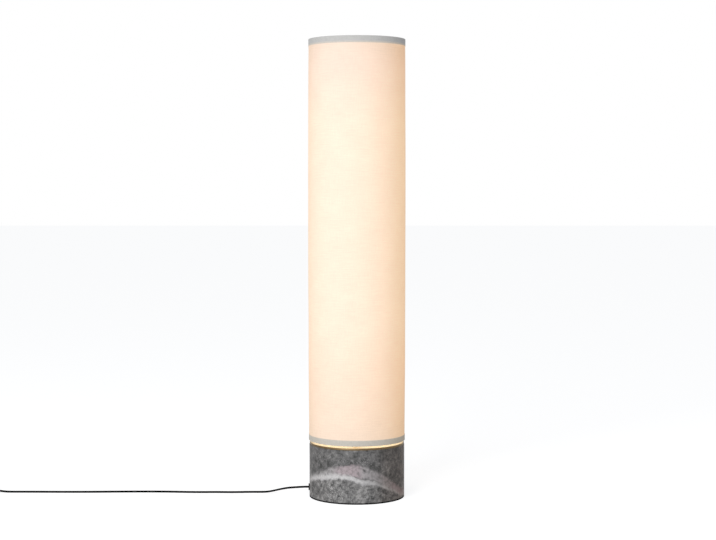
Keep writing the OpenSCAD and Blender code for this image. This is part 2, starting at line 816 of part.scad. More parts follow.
// Flat band round all the turns at the coil's far side
module coil_tie() {
    inner = sqrt(pow(coil_inner_r - cord_w / 2, 2) - pow(tie_w / 2, 2)) - tie_gap;
    outer = coil_outer_r + cord_w / 2 + tie_gap;
    in_h = cord_h + layer_rise + 2 * tie_gap;
    bend_r = 1;
    color("#2a2a2a") translate([coil_at[0] - (inner + outer) / 2, coil_at[1], tie_t + in_h / 2])
        rotate([90, 0, 0]) translate([0, 0, -tie_w / 2]) linear_extrude(tie_w) difference() {
            rounded(outer - inner + 2 * tie_t, in_h + 2 * tie_t, bend_r + tie_t);
            rounded(outer - inner, in_h, bend_r);
        }
}

// ---------- Switch on the cord ----------

switch_top_z = switch_base_h + switch_cover_h;
pivot_depth = 3;
pivot_z = switch_top_z - pivot_depth;
rocker_end_gap = 1;
slot_l = rocker_l + 2 * rocker_end_gap;
slot_w = rocker_w + 2 * rocker_gap;
slot_depth = 4;
// Screw posts at two opposite corners
post_inset = [8, 5.6];
post_x = switch_l / 2 - post_inset[0];
post_y = switch_w / 2 - post_inset[1];
post_at = [[-post_x, post_y], [post_x, -post_y]];
post_d = 6;
switch_screw_d = 2.4;
switch_head_d = 4.2;
switch_head_h = 1.5;
head_depth = 2;
head_clear = 0.2;
screw_hole_depth = 4;
switch_screw_clear = 0.1;
// Bosses inside the upper half that hold the rocker's pivot pin
boss_l = 7;
boss_w = 2.5;
boss_drop = 2.8;
pin_reach = 2;
pin_fit = 0.05;
contact_pitch = 16;
contact_l = 6;
contact_w = 5;

module at_switch() {
    translate([switch_at[0], switch_at[1], 0]) children();
}

// Tapered sleeve at the switch or plug, from its wide end at x = 0 towards +X
module cord_sleeve(z) {
    translate([0, 0, z]) rotate([0, 90, 0])
        cylinder(r1 = sleeve_big_r, r2 = sleeve_small_r, h = sleeve_l);
}

module switch_base() {
    color("#141414") at_switch() difference() {
        union() {
            difference() {
                linear_extrude(switch_base_h) rounded(switch_l, switch_w, switch_corner);
                translate([0, 0, switch_wall]) linear_extrude(switch_base_h)
                    rounded(switch_l - 2 * switch_wall, switch_w - 2 * switch_wall,
                            switch_corner - switch_wall);
            }
            for (p = post_at) translate(p) cylinder(d = post_d, h = switch_base_h);
            for (side = [0, 180]) rotate([0, 0, side]) translate([switch_l / 2, 0, 0])
                cord_sleeve(port_z);
        }
        for (p = post_at) translate([p[0], p[1], -cut]) {
            cylinder(r = switch_head_d / 2 + head_clear, h = cut + head_depth);
            cylinder(r = switch_screw_d / 2 + switch_screw_clear, h = switch_base_h + 2 * cut);
        }
    }
}

module switch_cover() {
    boss_z = pivot_z - boss_drop;
    boss_h = switch_top_z - switch_wall / 2 - boss_z;
    color("#141414") at_switch() difference() {
        union() {
            difference() {
                translate([0, 0, switch_base_h]) linear_extrude(switch_cover_h)
                    rounded(switch_l, switch_w, switch_corner);
                translate([0, 0, switch_base_h - cut]) linear_extrude(switch_cover_h - switch_wall + cut)
                    rounded(switch_l - 2 * switch_wall, switch_w - 2 * switch_wall,
                            switch_corner - switch_wall);
            }
            for (p = post_at) translate([p[0], p[1], switch_base_h])
                cylinder(d = post_d, h = switch_cover_h - switch_wall / 2);
            for (y = [-slot_w / 2 - boss_w, slot_w / 2]) translate([-boss_l / 2, y, boss_z])
                cube([boss_l, boss_w, boss_h]);
        }
        translate([-slot_l / 2, -slot_w / 2, pivot_z - slot_depth])
            cube([slot_l, slot_w, 2 * switch_cover_h]);
        translate([0, 0, pivot_z]) rotate([90, 0, 0])
            cylinder(r = pivot_d / 2 + pin_fit, h = slot_w + 2 * boss_w + cut, center = true);
        for (p = post_at) translate([p[0], p[1], switch_base_h - cut])
            cylinder(r = switch_screw_d / 2 + pin_fit, h = cut + screw_hole_depth);
    }
}

// Two terminals and the fixed contact between them, on the housing's floor
module switch_contacts() {
    middle_h = 4;
    end_h = 5.5;
    color("#c7a24e") at_switch() for (side = [-1, 0, 1])
        translate([side * contact_pitch - contact_l / 2, -contact_w / 2, switch_wall])
            cube([contact_l, contact_w, side == 0 ? middle_h : end_h]);
}

module switch_screws() {
    foot_z = head_depth - switch_head_h;
    tip_gap = 0.9;
    color("#8f9398") at_switch() for (p = post_at) translate([p[0], p[1], foot_z]) {
        cylinder(d = switch_head_d, h = switch_head_h);
        cylinder(d = switch_screw_d, h = switch_base_h + screw_hole_depth - tip_gap - foot_z);
    }
}

// Rocker, shown pressed down at its -X end, which is on
module switch_rocker() {
    half = rocker_l / 2;
    end_top = 4.4;
    middle_top = 3.6;
    end_low = 1.2;
    toe_low = -1.8;
    toe = 2.2;
    color("#1b1b1b") at_switch() translate([0, 0, pivot_z]) rotate([0, -rocker_tilt, 0])
        rotate([90, 0, 0]) {
            translate([0, 0, -rocker_w / 2]) linear_extrude(rocker_w) polygon([
                [-half, end_low], [-half, end_top], [0, middle_top], [half, end_top], [half, end_low],
                [toe, toe_low], [-toe, toe_low]]);
            translate([0, 0, -slot_w / 2 - pin_reach]) cylinder(d = pivot_d, h = slot_w + 2 * pin_reach);
        }
}

// ---------- Plug ----------

// Moulded body with a tapered sleeve, lying flat with its pins towards +X
module plug_body() {
    w = plug_w / 2;
    tail = plug_tail_w / 2;
    edge = 2;
    flare_x = plug_l * 0.45;
    full_x = plug_l * 0.6;
    color("#141414") translate([plug_at[0], plug_at[1], 0]) {
        translate([sleeve_l, 0, plug_z]) mirror([1, 0, 0]) rotate([0, 90, 0])
            cylinder(r1 = plug_sleeve_r, r2 = sleeve_small_r, h = sleeve_l);
        difference() {
            translate([sleeve_l, 0, 0]) linear_extrude(plug_t) polygon([
                [0, -tail + edge], [edge, -tail], [flare_x, -w + edge], [full_x, -w], [plug_l, -w],
                [plug_l, w], [full_x, w], [flare_x, w - edge], [edge, tail], [0, tail - edge]]);
            for (y = [-1, 1]) translate([sleeve_l + plug_l - pin_seat, y * pin_spacing / 2, plug_z])
                rotate([0, 90, 0]) cylinder(r = pin_d / 2 + pin_fit, h = pin_seat + cut);
        }
    }
}

module plug_pins() {
    nose = 1;
    nose_d = pin_d - 1.4;
    shank = pin_seat + pin_l - nose;
    color("#c9c9c9") for (y = [-1, 1])
        translate([plug_at[0] + sleeve_l + plug_l - pin_seat, plug_at[1] + y * pin_spacing / 2, plug_z])
            rotate([0, 90, 0]) {
                cylinder(d = pin_d, h = shank);
                translate([0, 0, shank]) cylinder(d1 = pin_d, d2 = nose_d, h = nose);
            }
}

base_pad();
marble_base();
bottom_cover();
cover_screws();
cover_inserts();
brass_plate();
stem_tube();
stem_washer();
lower_nut();
upper_nut();
shade_seat();
cord_gland();
inner_cord();
cord_clamp();
clamp_bar();
clamp_screws();
terminal_block();
terminal_screws();
for (k = levels) {
    lamp_arm(k);
    lampholder(k);
    contacts(k);
    wires(k);
    bulb_cap(k);
    bulb_globe(k);
}
shade_fabric();
shade_liner();
top_frame();
bottom_ring();
top_trim();
bottom_trim();
finial();
cord_run();
cord_link();
cord_coil();
cord_tail();
coil_tie();
switch_base();
switch_cover();
switch_contacts();
switch_screws();
switch_rocker();
plug_body();
plug_pins();
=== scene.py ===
import math

import bpy
import bmesh
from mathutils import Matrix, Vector, noise


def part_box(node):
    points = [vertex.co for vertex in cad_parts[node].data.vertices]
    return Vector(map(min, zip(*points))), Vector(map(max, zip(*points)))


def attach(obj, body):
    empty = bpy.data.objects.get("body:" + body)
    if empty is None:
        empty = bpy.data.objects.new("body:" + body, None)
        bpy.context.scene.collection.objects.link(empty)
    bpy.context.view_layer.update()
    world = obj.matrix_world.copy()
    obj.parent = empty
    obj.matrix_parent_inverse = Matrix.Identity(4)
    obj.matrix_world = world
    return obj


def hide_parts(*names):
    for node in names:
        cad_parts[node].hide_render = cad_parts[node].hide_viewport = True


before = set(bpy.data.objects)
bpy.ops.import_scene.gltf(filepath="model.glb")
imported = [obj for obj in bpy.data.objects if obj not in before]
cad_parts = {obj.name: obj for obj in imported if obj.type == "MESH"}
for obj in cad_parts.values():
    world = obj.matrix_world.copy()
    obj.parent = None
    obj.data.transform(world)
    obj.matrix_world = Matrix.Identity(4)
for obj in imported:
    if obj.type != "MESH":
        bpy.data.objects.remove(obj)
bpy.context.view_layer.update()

MM = 0.001
LEVELS = (1, 2, 3)


# ---------- Camera: an 80 mm lens at table height, turned slightly down ----------

LENS_MM = 79.55
CAMERA_AT = (0.0020, -2.77, 0.5426)
TILT_DOWN_DEGREES = 2.974

camera_data = bpy.data.cameras.new("camera")
camera_data.lens = LENS_MM
camera_data.sensor_width = 36
camera = bpy.data.objects.new("camera", camera_data)
camera.location = CAMERA_AT
camera.rotation_euler = (math.radians(90 - TILT_DOWN_DEGREES), 0, 0)
bpy.context.scene.collection.objects.link(camera)
bpy.context.scene.camera = camera
bpy.context.scene.view_settings.view_transform = "Standard"


# ---------- Meshes ----------

def mesh_piece(name, points, faces, sharp_degrees=38):
    """A closed mesh, smooth but for edges sharper than an angle. Points are in millimetres."""
    mesh = bpy.data.meshes.new(name)
    mesh.from_pydata([Vector(p) * MM for p in points], [], faces)
    shell = bmesh.new()
    shell.from_mesh(mesh)
    bmesh.ops.remove_doubles(shell, verts=shell.verts, dist=0.001 * MM)
    bmesh.ops.recalc_face_normals(shell, faces=shell.faces)
    shell.to_mesh(mesh)
    shell.free()
    mesh.shade_smooth()
    mesh.set_sharp_from_angle(angle=math.radians(sharp_degrees))
    piece = bpy.data.objects.new(name, mesh)
    bpy.context.scene.collection.objects.link(piece)
    return piece


def loft(name, rings, loop=False, sharp_degrees=38):
    """Skins rings of equally many points. A loop joins the last ring to the first; otherwise both ends
    close."""
    count = len(rings[0])
    pairs = [(i, i + 1) for i in range(len(rings) - 1)]
    if loop:
        pairs.append((len(rings) - 1, 0))
    faces = [
        (a * count + k, b * count + k, b * count + (k + 1) % count, a * count + (k + 1) % count)
        for a, b in pairs
        for k in range(count)
    ]
    if not loop:
        last = (len(rings) - 1) * count
        faces.append(tuple(range(count)))
        faces.append(tuple(last + k for k in reversed(range(count))))
    return mesh_piece(name, [p for ring in rings for p in ring], faces, sharp_degrees)


def soften(outline, radius, steps=3):
    """The closed outline with each corner rounded, by less where an edge is short."""
    out = []
    count = len(outline)
    for i, corner in enumerate(outline):
        here = Vector(corner)
        before = Vector(outline[i - 1]) - here
        after = Vector(outline[(i + 1) % count]) - here
        start = here + before.normalized() * min(radius, before.length * 0.45)
        end = here + after.normalized() * min(radius, after.length * 0.45)
        for k in range(steps + 1):
            u = k / steps
            out.append(tuple(start * (1 - u) ** 2 + here * 2 * u * (1 - u) + end * u * u))
    return out


def turned(name, outline, steps=160, shape=None, at=(0, 0), sharp_degrees=38):
    """Turns a closed outline of (radius, height) round an upright axis. shape gives what is added to a
    radius."""
    rings = []
    for i in range(steps):
        angle = 2 * math.pi * i / steps
        ring = []
        for r, z in outline:
            if shape:
                r = r + shape(angle, r, z)
            ring.append((at[0] + r * math.cos(angle), at[1] + r * math.sin(angle), z))
        rings.append(ring)
    return loft(name, rings, loop=True, sharp_degrees=sharp_degrees)


def rounded_outline(length, width, radius, corner_steps=8):
    """A rectangle with round corners, as points that go round it."""
    out = []
    for turn, sx, sy in ((0, 1, 1), (90, -1, 1), (180, -1, -1), (270, 1, -1)):
        for k in range(corner_steps + 1):
            a = math.radians(turn + 90 * k / corner_steps)
            out.append((sx * (length / 2 - radius) + radius * math.cos(a),
                        sy * (width / 2 - radius) + radius * math.sin(a)))
    return out


def round_section(radius, sides):
    return [(radius * math.cos(2 * math.pi * k / sides), radius * math.sin(2 * math.pi * k / sides))
            for k in range(sides)]


def curve_point(a, b, c, d, u):
    """A point of the smooth curve between b and c, at the share u of the way."""
    return 0.5 * (2 * b + (c - a) * u + (2 * a - 5 * b + 4 * c - d) * u * u
                  + (3 * b - a - 3 * c + d) * u ** 3)


def smooth(points, steps):
    """The smooth curve through all the points of a route."""
    p = [Vector(q) for q in points]
    last = len(p) - 1
    out = [curve_point(p[max(i - 1, 0)], p[i], p[i + 1], p[min(i + 2, last)], k / steps)
           for i in range(last) for k in range(steps)]
    return out + [p[last]]


def heading(route, i):
    """The direction of a route at its point i."""
    return (route[min(i + 1, len(route) - 1)] - route[max(i - 1, 0)]).normalized()


def swept(name, route, section, level=None):
    """A tube along a route. The section's X lies along level, or level and square to the route without it."""
    rings = []
    for i, point in enumerate(route):
        ahead = heading(route, i)
        across = level or ahead.cross(Vector((0, 0, 1))).normalized()
        above = across.cross(ahead)
        rings.append([point + across * x + above * y for x, y in section])
    return loft(name, rings)


def box_mm(node):
    low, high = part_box(node)
    return low / MM, high / MM


# ---------- Cord: flat two-core flex, 5.2 mm wide and 3.2 mm thick ----------

CORD_W = 5.2
CORD_H = 3.2
LIE_Z = CORD_H / 2
GLAND_X = box_mm("cord_gland")[0].x
EXIT_Z = 15.5
SWITCH_AT = (-700, 26)
SWITCH_PORT = 44
PORT_Z = 5
COIL_TURNS = 3.25
COIL_INNER_R = 21.4
COIL_PITCH = 5.9
COIL_OUTER_R = COIL_INNER_R + COIL_PITCH * COIL_TURNS
COIL_RINGS_PER_TURN = 48
LAYER_RISE = 3.75
# Room under the coil for its tie and the tie's clearance
TIE_ROOM = 0.9
COIL_Z = LIE_Z + TIE_ROOM
COIL_AT = (-776, SWITCH_AT[1] - COIL_OUTER_R)
PLUG_AT = (-738, SWITCH_AT[1] - 2 * COIL_OUTER_R)
PLUG_T = 13.7
PLUG_Z = PLUG_T / 2
SLEEVE_L = 14
CORD_IN_PLUG = 4

RUN_ROUTE = [
    (GLAND_X, 0, EXIT_Z), (-92, 0, EXIT_Z), (-103, 0, 15), (-111, 0.5, 14.4),
    (-118, 1.5, 13.7), (-125, 3, 12.6), (-132, 5.5, 10.9), (-139, 8.5, 8.9), (-146, 12, 6.7),
    (-153, 16, 4.6), (-160, 20, 2.9), (-168, 23, 2), (-178, 24.5, LIE_Z), (-190, 24.5, LIE_Z),
    (-205, 23.5, LIE_Z), (-225, 22.5, LIE_Z), (-250, 23.5, LIE_Z), (-280, 23, LIE_Z),
    (-305, 24, LIE_Z), (-325, 26, LIE_Z), (-350, 27.5, LIE_Z), (-385, 28, LIE_Z),
    (-430, 27, LIE_Z), (-480, 25, LIE_Z), (-530, 25, LIE_Z), (-580, 26, LIE_Z),
    (-610, 26, LIE_Z), (-625, 26, 2), (-637, 26, 3.4), (-647, 26, 4.7),
    (SWITCH_AT[0] + SWITCH_PORT, SWITCH_AT[1], PORT_Z),
]
LINK_ROUTE = [
    (SWITCH_AT[0] - SWITCH_PORT, SWITCH_AT[1], PORT_Z), (-750, SWITCH_AT[1], 4.6),
    (-757, SWITCH_AT[1], 3.6), (-764, SWITCH_AT[1], 2.8), (COIL_AT[0] + CORD_W, SWITCH_AT[1], COIL_Z),
]
TAIL_ROUTE = [
    (COIL_AT[0] + CORD_W, PLUG_AT[1], COIL_Z + LAYER_RISE), (-766, PLUG_AT[1], 6.1),
    (-760, PLUG_AT[1], 5.7), (-754, PLUG_AT[1], 5.6), (-748, PLUG_AT[1], 6),
    (-743, PLUG_AT[1], 6.6), (PLUG_AT[0], PLUG_AT[1], PLUG_Z),
]


def coil_point(t):
    """A point of the coil, t turns from its middle: inwards below, up where it is narrowest, outwards
    above."""
    r = COIL_INNER_R + COIL_PITCH * abs(t)
    a = math.radians(90 + 360 * (t + COIL_TURNS))
    climb = max(0, min(1, 0.5 + 2 * t))
    return Vector((COIL_AT[0] + r * math.cos(a), COIL_AT[1] + r * math.sin(a),
                   COIL_Z + LAYER_RISE * climb))


def cord_route():
    """The cord's whole centreline, from the gland through the switch and the coil to the plug."""
    run = [Vector((p.x, p.y, max(p.z, LIE_Z))) for p in smooth(RUN_ROUTE, 4)]
    link = smooth(LINK_ROUTE, 3)
    switch_steps = 8
    inside_switch = [run[-1].lerp(link[0], k / switch_steps) for k in range(1, switch_steps)]
    coil_steps = round(COIL_TURNS * COIL_RINGS_PER_TURN)
    coil = [coil_point(i / COIL_RINGS_PER_TURN) for i in range(-coil_steps, coil_steps + 1)]
    tail = smooth(TAIL_ROUTE + [(PLUG_AT[0] + CORD_IN_PLUG, PLUG_AT[1], PLUG_Z)], 3)
    return run + inside_switch + link + coil + tail


def flex_section():
    """Two round cores side by side, with a shallow groove between them along each broad face."""
    clearance = 0.02
    core_r = CORD_H / 2 - clearance
    core_x = CORD_W / 2 - core_r
    groove = 0.35
    out = []
    for side in (1, -1):
        for degrees in range(-90, 91, 20):
            a = math.radians(degrees)
            out.append((side * (core_x + core_r * math.cos(a)), side * core_r * math.sin(a)))
        out.append((0, side * (core_r - groove)))
    return out


cord_line = cord_route()
flat_cord = swept("flat_cord", cord_line, flex_section())


# ---------- Tools for the materials ----------

def srgb(code):
    """An sRGB hex colour as linear red, green, blue and alpha."""
    parts = [int(code[i:i + 2], 16) / 255 for i in (1, 3, 5)]
    return [c / 12.92 if c <= 0.04045 else ((c + 0.055) / 1.055) ** 2.4 for c in parts] + [1.0]


def add(tree, kind, inputs=(), out=0, stops=(), points=(), **settings):
    """Adds a node with its settings, ramp stops or curve points, and sets or links its inputs. It gives one
    of the outputs, or all of them where out is None."""
    node = tree.nodes.new("ShaderNode" + kind)
    for name, value in settings.items():
        setattr(node, name, value)
    for key, value in inputs.items() if isinstance(inputs, dict) else enumerate(inputs):
        if isinstance(value, bpy.types.NodeSocket):
            tree.links.new(value, node.inputs[key])
        else:
            node.inputs[key].default_value = value
    if stops:
        ramp = node.color_ramp.elements
        for end, (place, colour) in zip((ramp[0], ramp[1]), (stops[0], stops[-1])):
            end.position = place
            end.color = srgb(colour)
        for place, colour in stops[1:-1]:
            ramp.new(place).color = srgb(colour)
    if points:
        line = node.mapping.curves[0].points
        line[0].location = points[0]
        line[1].location = points[-1]
        for point in points[1:-1]:
            line.new(*point)
        node.mapping.update()
    if out is None or not node.outputs:
        return node.outputs
    return node.outputs[out]


def blank(name):
    """A material without nodes, and its tree."""
    made = bpy.data.materials.new(name)
    made.use_nodes = True
    made.node_tree.nodes.clear()
    return made, made.node_tree


def turn_of(tree, xyz):
    """The angle round the upright axis in radians, 0 at the front."""
    back = add(tree, "Math", (xyz["Y"], -1.0), operation="MULTIPLY")
    return add(tree, "Math", (xyz["X"], back), operation="ARCTAN2")


def drum_map(tree, radius_mm):
    """Coordinates on a drum in metres: round it from the front, and up."""
    place = add(tree, "TexCoord", out="Object")
    xyz = add(tree, "SeparateXYZ", (place,), out=None)
    arc = add(tree, "Math", (turn_of(tree, xyz), radius_mm * MM), operation="MULTIPLY")
    return add(tree, "CombineXYZ", (arc, xyz["Z"]))


def marks(tree, vector, across_mm, along_mm, detail=2.0, rough=0.5):
    """Noise from 0 to 1, in marks about that long in X and in Y."""
    size = (1 / (across_mm * MM), 1 / (along_mm * MM), 1 / (across_mm * MM))
    spread = add(tree, "VectorMath", (vector, size), operation="MULTIPLY")
    return add(tree, "TexNoise", {"Vector": spread, "Scale": 1.0, "Detail": detail, "Roughness": rough})


def mottled(tree, vector, mark_mm, low, high, detail=3.0):
    """A colour that drifts between two, in patches about that big."""
    share = marks(tree, vector, mark_mm, mark_mm, detail)
    return add(tree, "ValToRGB", (share,), stops=((0.35, low), (0.65, high)))


def plain_finish(name, mark_mm, low, high, grain_mm=0, depth_mm=0.0, **even):
    """A material that drifts between two colours, over a fine relief where it has one."""
    made, tree = blank(name)
    place = add(tree, "TexCoord", out="Object")
    sockets = {socket.replace("_", " "): value for socket, value in even.items()}
    sockets["Base Color"] = mottled(tree, place, mark_mm, low, high)
    if grain_mm:
        grain = marks(tree, place, grain_mm, grain_mm)
        sockets["Normal"] = add(tree, "Bump", {"Height": grain, "Distance": depth_mm * MM})
    add(tree, "OutputMaterial", {"Surface": add(tree, "BsdfPrincipled", sockets)})
    return made


# ---------- Materials of the shade ----------

SHADE_R = box_mm("shade_fabric")[1].x
SHADE_LOW_Z = box_mm("bottom_trim")[0].z
SHADE_TOP_Z = box_mm("top_trim")[1].z
TAPE_H = box_mm("top_trim")[1].z - box_mm("top_trim")[0].z
TAPE_SEEP = 3
SEAM_W = 10
SEAM_DIMMING = 0.86
# Light through the linen against the share of the shade's height: the bulbs are further from its rims
GLOW_BY_HEIGHT = (
    (0.0, "#CDA576"), (0.06, "#D6AC7C"), (0.19, "#DEB383"), (0.29, "#E1BA8C"),
    (0.79, "#E1BA8C"), (0.93, "#D8AD82"), (1.0, "#CDA476"),
)


def canvas_threads(tree, cloth):
    """Unevenness of the weave from 0 to 1: long level slubs, shorter upright ones and a fine grain."""
    level = marks(tree, cloth, 24, 1.9, 3.0, 0.6)
    upright = marks(tree, cloth, 2.0, 16, 2.0)
    grain = marks(tree, cloth, 2.2, 1.8, 2.0)
    slubs = add(tree, "Math", (level, 0.5), operation="MULTIPLY")
    both = add(tree, "Math", (upright, 0.25, slubs), operation="MULTIPLY_ADD")
    return add(tree, "Math", (grain, 0.25, both), operation="MULTIPLY_ADD")


def linen_canvas():
    """Natural white linen canvas, woven in 0.6 mm threads and laminated to a film. It gives an even warm
    glow that is broken by faint level threads, with a darker band where it overlaps down the back. The
    slubs are drawn about 2 mm high so that they show."""
    made, tree = blank("linen_canvas_lit_from_inside")
    cloth = drum_map(tree, SHADE_R)
    threads = canvas_threads(tree, cloth)
    cloud = marks(tree, cloth, 45, 38, 2.0)
    uneven = add(tree, "Math", (cloud, 0.3, threads), operation="MULTIPLY_ADD")
    share = add(tree, "MapRange", (uneven, 0.4, 0.9, 0.91, 1.065))
    xy = add(tree, "SeparateXYZ", (cloth,), out=None)
    from_front = add(tree, "Math", (xy["X"],), operation="ABSOLUTE")
    seam_at = (math.pi * SHADE_R - SEAM_W / 2) * MM
    seam = add(tree, "Math", (from_front, seam_at), operation="GREATER_THAN")
    through = add(tree, "MapRange", (seam, 0.0, 1.0, 1.0, SEAM_DIMMING))
    seen = add(tree, "Math", (share, through), operation="MULTIPLY")
    base_grey = add(tree, "CombineXYZ", (share, share, share))
    glow_grey = add(tree, "CombineXYZ", (seen, seen, seen))
    base = add(tree, "Mix", {0: 1.0, 6: srgb("#9EA5AC"), 7: base_grey}, out=2, data_type="RGBA",
               blend_type="MULTIPLY")
    up = add(tree, "MapRange", (xy["Y"], SHADE_LOW_Z * MM, SHADE_TOP_Z * MM, 0.0, 1.0))
    warm = add(tree, "ValToRGB", (up,), stops=GLOW_BY_HEIGHT)
    glow = add(tree, "Mix", {0: 1.0, 6: warm, 7: glow_grey}, out=2, data_type="RGBA",
               blend_type="MULTIPLY")
    relief = add(tree, "Bump", {"Height": threads, "Distance": 0.1 * MM})
    shader = add(tree, "BsdfPrincipled", {
        "Base Color": base, "Roughness": 0.95, "Specular IOR Level": 0.15, "Normal": relief,
        "Sheen Weight": 0.45, "Sheen Roughness": 0.35, "Sheen Tint": srgb("#B9B4AE"),
        "Emission Color": glow, "Emission Strength": 1.0})
    add(tree, "OutputMaterial", {"Surface": shader})
    return made


def film_liner():
    """Calendered PVC film behind the linen. It gives a smooth cream inner wall, lit by the bulbs and
    brightened further by a painted glow.
    """
    made, tree = blank("calendered_film_liner")
    drum = drum_map(tree, SHADE_R)
    shader = add(tree, "BsdfPrincipled", {
        "Base Color": mottled(tree, drum, 60, "#E9E0CF", "#F2EBDD"), "Roughness": 0.5,
        "Emission Color": mottled(tree, drum, 70, "#F7EBD5", "#FDF3E1"), "Emission Strength": 0.5})
    add(tree, "OutputMaterial", {"Surface": shader})
    return made


def cotton_tape():
    """Woven cotton binding tape, dyed grey. It gives a cool band against the glow, and lets a little light
    through, which is warmer at the lower rim and strongest along the edge next to the linen."""
    made, tree = blank("woven_cotton_tape")
    cloth = drum_map(tree, SHADE_R)
    weft = marks(tree, cloth, 7, 1.2, 2.0)
    warp = marks(tree, cloth, 1.4, 7, 2.0)
    both = add(tree, "Math", (weft, warp), operation="ADD")
    weave = add(tree, "Math", (both, 0.5), operation="MULTIPLY")
    height = add(tree, "SeparateXYZ", (cloth,), out="Y")
    up = add(tree, "MapRange", (height, SHADE_LOW_Z * MM, SHADE_TOP_Z * MM, 0.0, 1.0))
    edge = TAPE_H / (SHADE_TOP_Z - SHADE_LOW_Z)
    clear = (TAPE_H - TAPE_SEEP) / (SHADE_TOP_Z - SHADE_LOW_Z)
    shader = add(tree, "BsdfPrincipled", {
        "Base Color": add(tree, "ValToRGB", (weave,), stops=((0.34, "#969694"), (0.66, "#A8A8A6"))),
        "Emission Color": add(tree, "ValToRGB", (up,), stops=(
            (clear, "#7C7261"), (edge, "#A3917B"), (1 - edge, "#A3917B"), (1 - clear, "#737170"))),
        "Emission Strength": 1.0,
        "Normal": add(tree, "Bump", {"Height": weave, "Distance": 0.06 * MM}),
        "Roughness": 0.92, "Specular IOR Level": 0.2, "Sheen Weight": 0.2, "Sheen Roughness": 0.4})
    add(tree, "OutputMaterial", {"Surface": shader})
    return made


# ---------- Marble ----------

CURVE_TOP_MM = 100
STREAK_TOP_MM = 20
# Heights in millimetres of the pale vein's lower and upper edge, against degrees from the front
VEIN_LOW = ((-180, 0), (-120, 8), (-68, 33), (-36, 40.5), (-21, 42.5), (-8, 42), (1, 37), (10, 33.5),
            (19, 32.5), (28, 29), (38, 22.5), (51, 16), (68, 6), (110, 0), (180, 0))
VEIN_HIGH = ((-180, 6), (-120, 16), (-68, 44), (-44, 53), (-35, 60.5), (-17, 65.5), (-3, 67.5), (5, 66),
             (18, 59), (33, 49), (44, 38), (56, 27), (68, 18), (110, 6), (180, 6))
# Height in millimetres of the bright lower streak, against degrees from the front
STREAK_H = ((-180, 6), (-80, 8), (-36, 11), (-8, 9), (10, 10), (28, 7), (51, 5), (180, 6))
# Strength of the streak, of the cloud above it and of the thin dark line between them, by degrees
STREAK_FADE = ((-180, 0), (-120, 0), (-80, 0.8), (-50, 1), (-15, 1), (3, 0.8), (12, 0.68), (28, 0.6),
               (40, 0.55), (56, 0.3), (75, 0), (180, 0))
CLOUD_FADE = ((-180, 0), (-125, 0), (-75, 0.5), (-45, 0.75), (-20, 1), (4, 0.98), (14, 0.84), (33, 0.74),
              (60, 1), (80, 1), (110, 0), (180, 0))
DARK_LINE_FADE = ((-180, 0), (-12, 0), (-3, 0.5), (14, 0.6), (25, 0.4), (34, 0), (180, 0))
# How pink the vein is and how brown the whole stone is, against degrees from the front
PINK_BY_TURN = ((-180, 0), (-40, 0.1), (-26, 0.6), (-8, 1), (3, 0.8), (14, 0.25), (40, 0.4), (62, 1),
                (180, 0.2))
BROWN_BY_TURN = ((-180, 0.4), (-60, 0.1), (10, 0), (35, 0.4), (58, 0.7), (80, 1), (110, 0.7), (180, 0.4))
# Middles of a cluster of flecks and of a dark spot on the block's face, in millimetres
FLECKS_AT = (-38, -74, 20)
SPOT_AT = (14, -82, 60)


def by_turn(tree, share, heights, top):
    """A value that follows a curve round the block, 0 to top."""
    curve = [(degrees / 360 + 0.5, value / top) for degrees, value in heights]
    value = add(tree, "FloatCurve", {"Value": share}, points=curve)
    return add(tree, "Math", (value, top), operation="MULTIPLY")


def near(tree, place, middle_mm, inner_mm, outer_mm):
    """1 about a point of the block, fading to 0 between two distances."""
    middle = Vector(middle_mm) * MM
    away = add(tree, "VectorMath", (place, middle), out="Value", operation="DISTANCE")
    return add(tree, "MapRange", (away, inner_mm * MM, outer_mm * MM, 1.0, 0.0))


def stone_body(tree, warped, above):
    """The marble's dark grey body: clouds of some 25 mm, blotches of 8 mm and a fine grain. It is darker
    and smoother above the vein's lower edge than below."""
    cloud = marks(tree, warped, 26, 22, 2.0)
    blotch = marks(tree, warped, 7, 9, 3.0, 0.55)
    grain = marks(tree, warped, 2.4, 2.6, 2.0)
    part = add(tree, "Math", (cloud, 0.2), operation="MULTIPLY")
    more = add(tree, "Math", (blotch, 0.54, part), operation="MULTIPLY_ADD")
    both = add(tree, "Math", (grain, 0.26, more), operation="MULTIPLY_ADD")
    swing = add(tree, "Math", (both, -0.5), operation="ADD")
    contrast = add(tree, "MapRange", (above, -12.0, 25.0, 1.08, 0.8))
    middle = add(tree, "MapRange", (above, -14.0, 20.0, 0.534, 0.48))
    tone = add(tree, "Math", (swing, contrast, middle), operation="MULTIPLY_ADD")
    return add(tree, "ValToRGB", (tone,), stops=(
        (0.34, "#323232"), (0.42, "#474746"), (0.49, "#5F5E5E"), (0.56, "#777675"), (0.66, "#999796")))


def pale_flecks(tree, place, warped):
    """Slanting pale flecks, about 1.4 by 6 mm, in clusters."""
    both_ways = []
    for slant in (32, -38):
        turned_place = add(tree, "VectorRotate", {"Vector": warped, "Axis": (0, 1, 0),
                                                  "Angle": math.radians(slant)})
        xyz = add(tree, "SeparateXYZ", (turned_place,), out=None)
        upright = add(tree, "CombineXYZ", (xyz["X"], xyz["Z"], xyz["Y"]))
        both_ways.append(add(tree, "MapRange", (marks(tree, upright, 1.4, 6, 1.0), 0.58, 0.7, 0.0, 1.0)))
    fleck = add(tree, "Math", both_ways, operation="MAXIMUM")
    scattered = add(tree, "MapRange", (marks(tree, warped, 24, 24, 1.0), 0.52, 0.64, 0.0, 0.4))
    cluster = add(tree, "Math", (scattered, near(tree, place, FLECKS_AT, 8, 24)), operation="MAXIMUM")
    return add(tree, "Math", (fleck, cluster), operation="MULTIPLY")


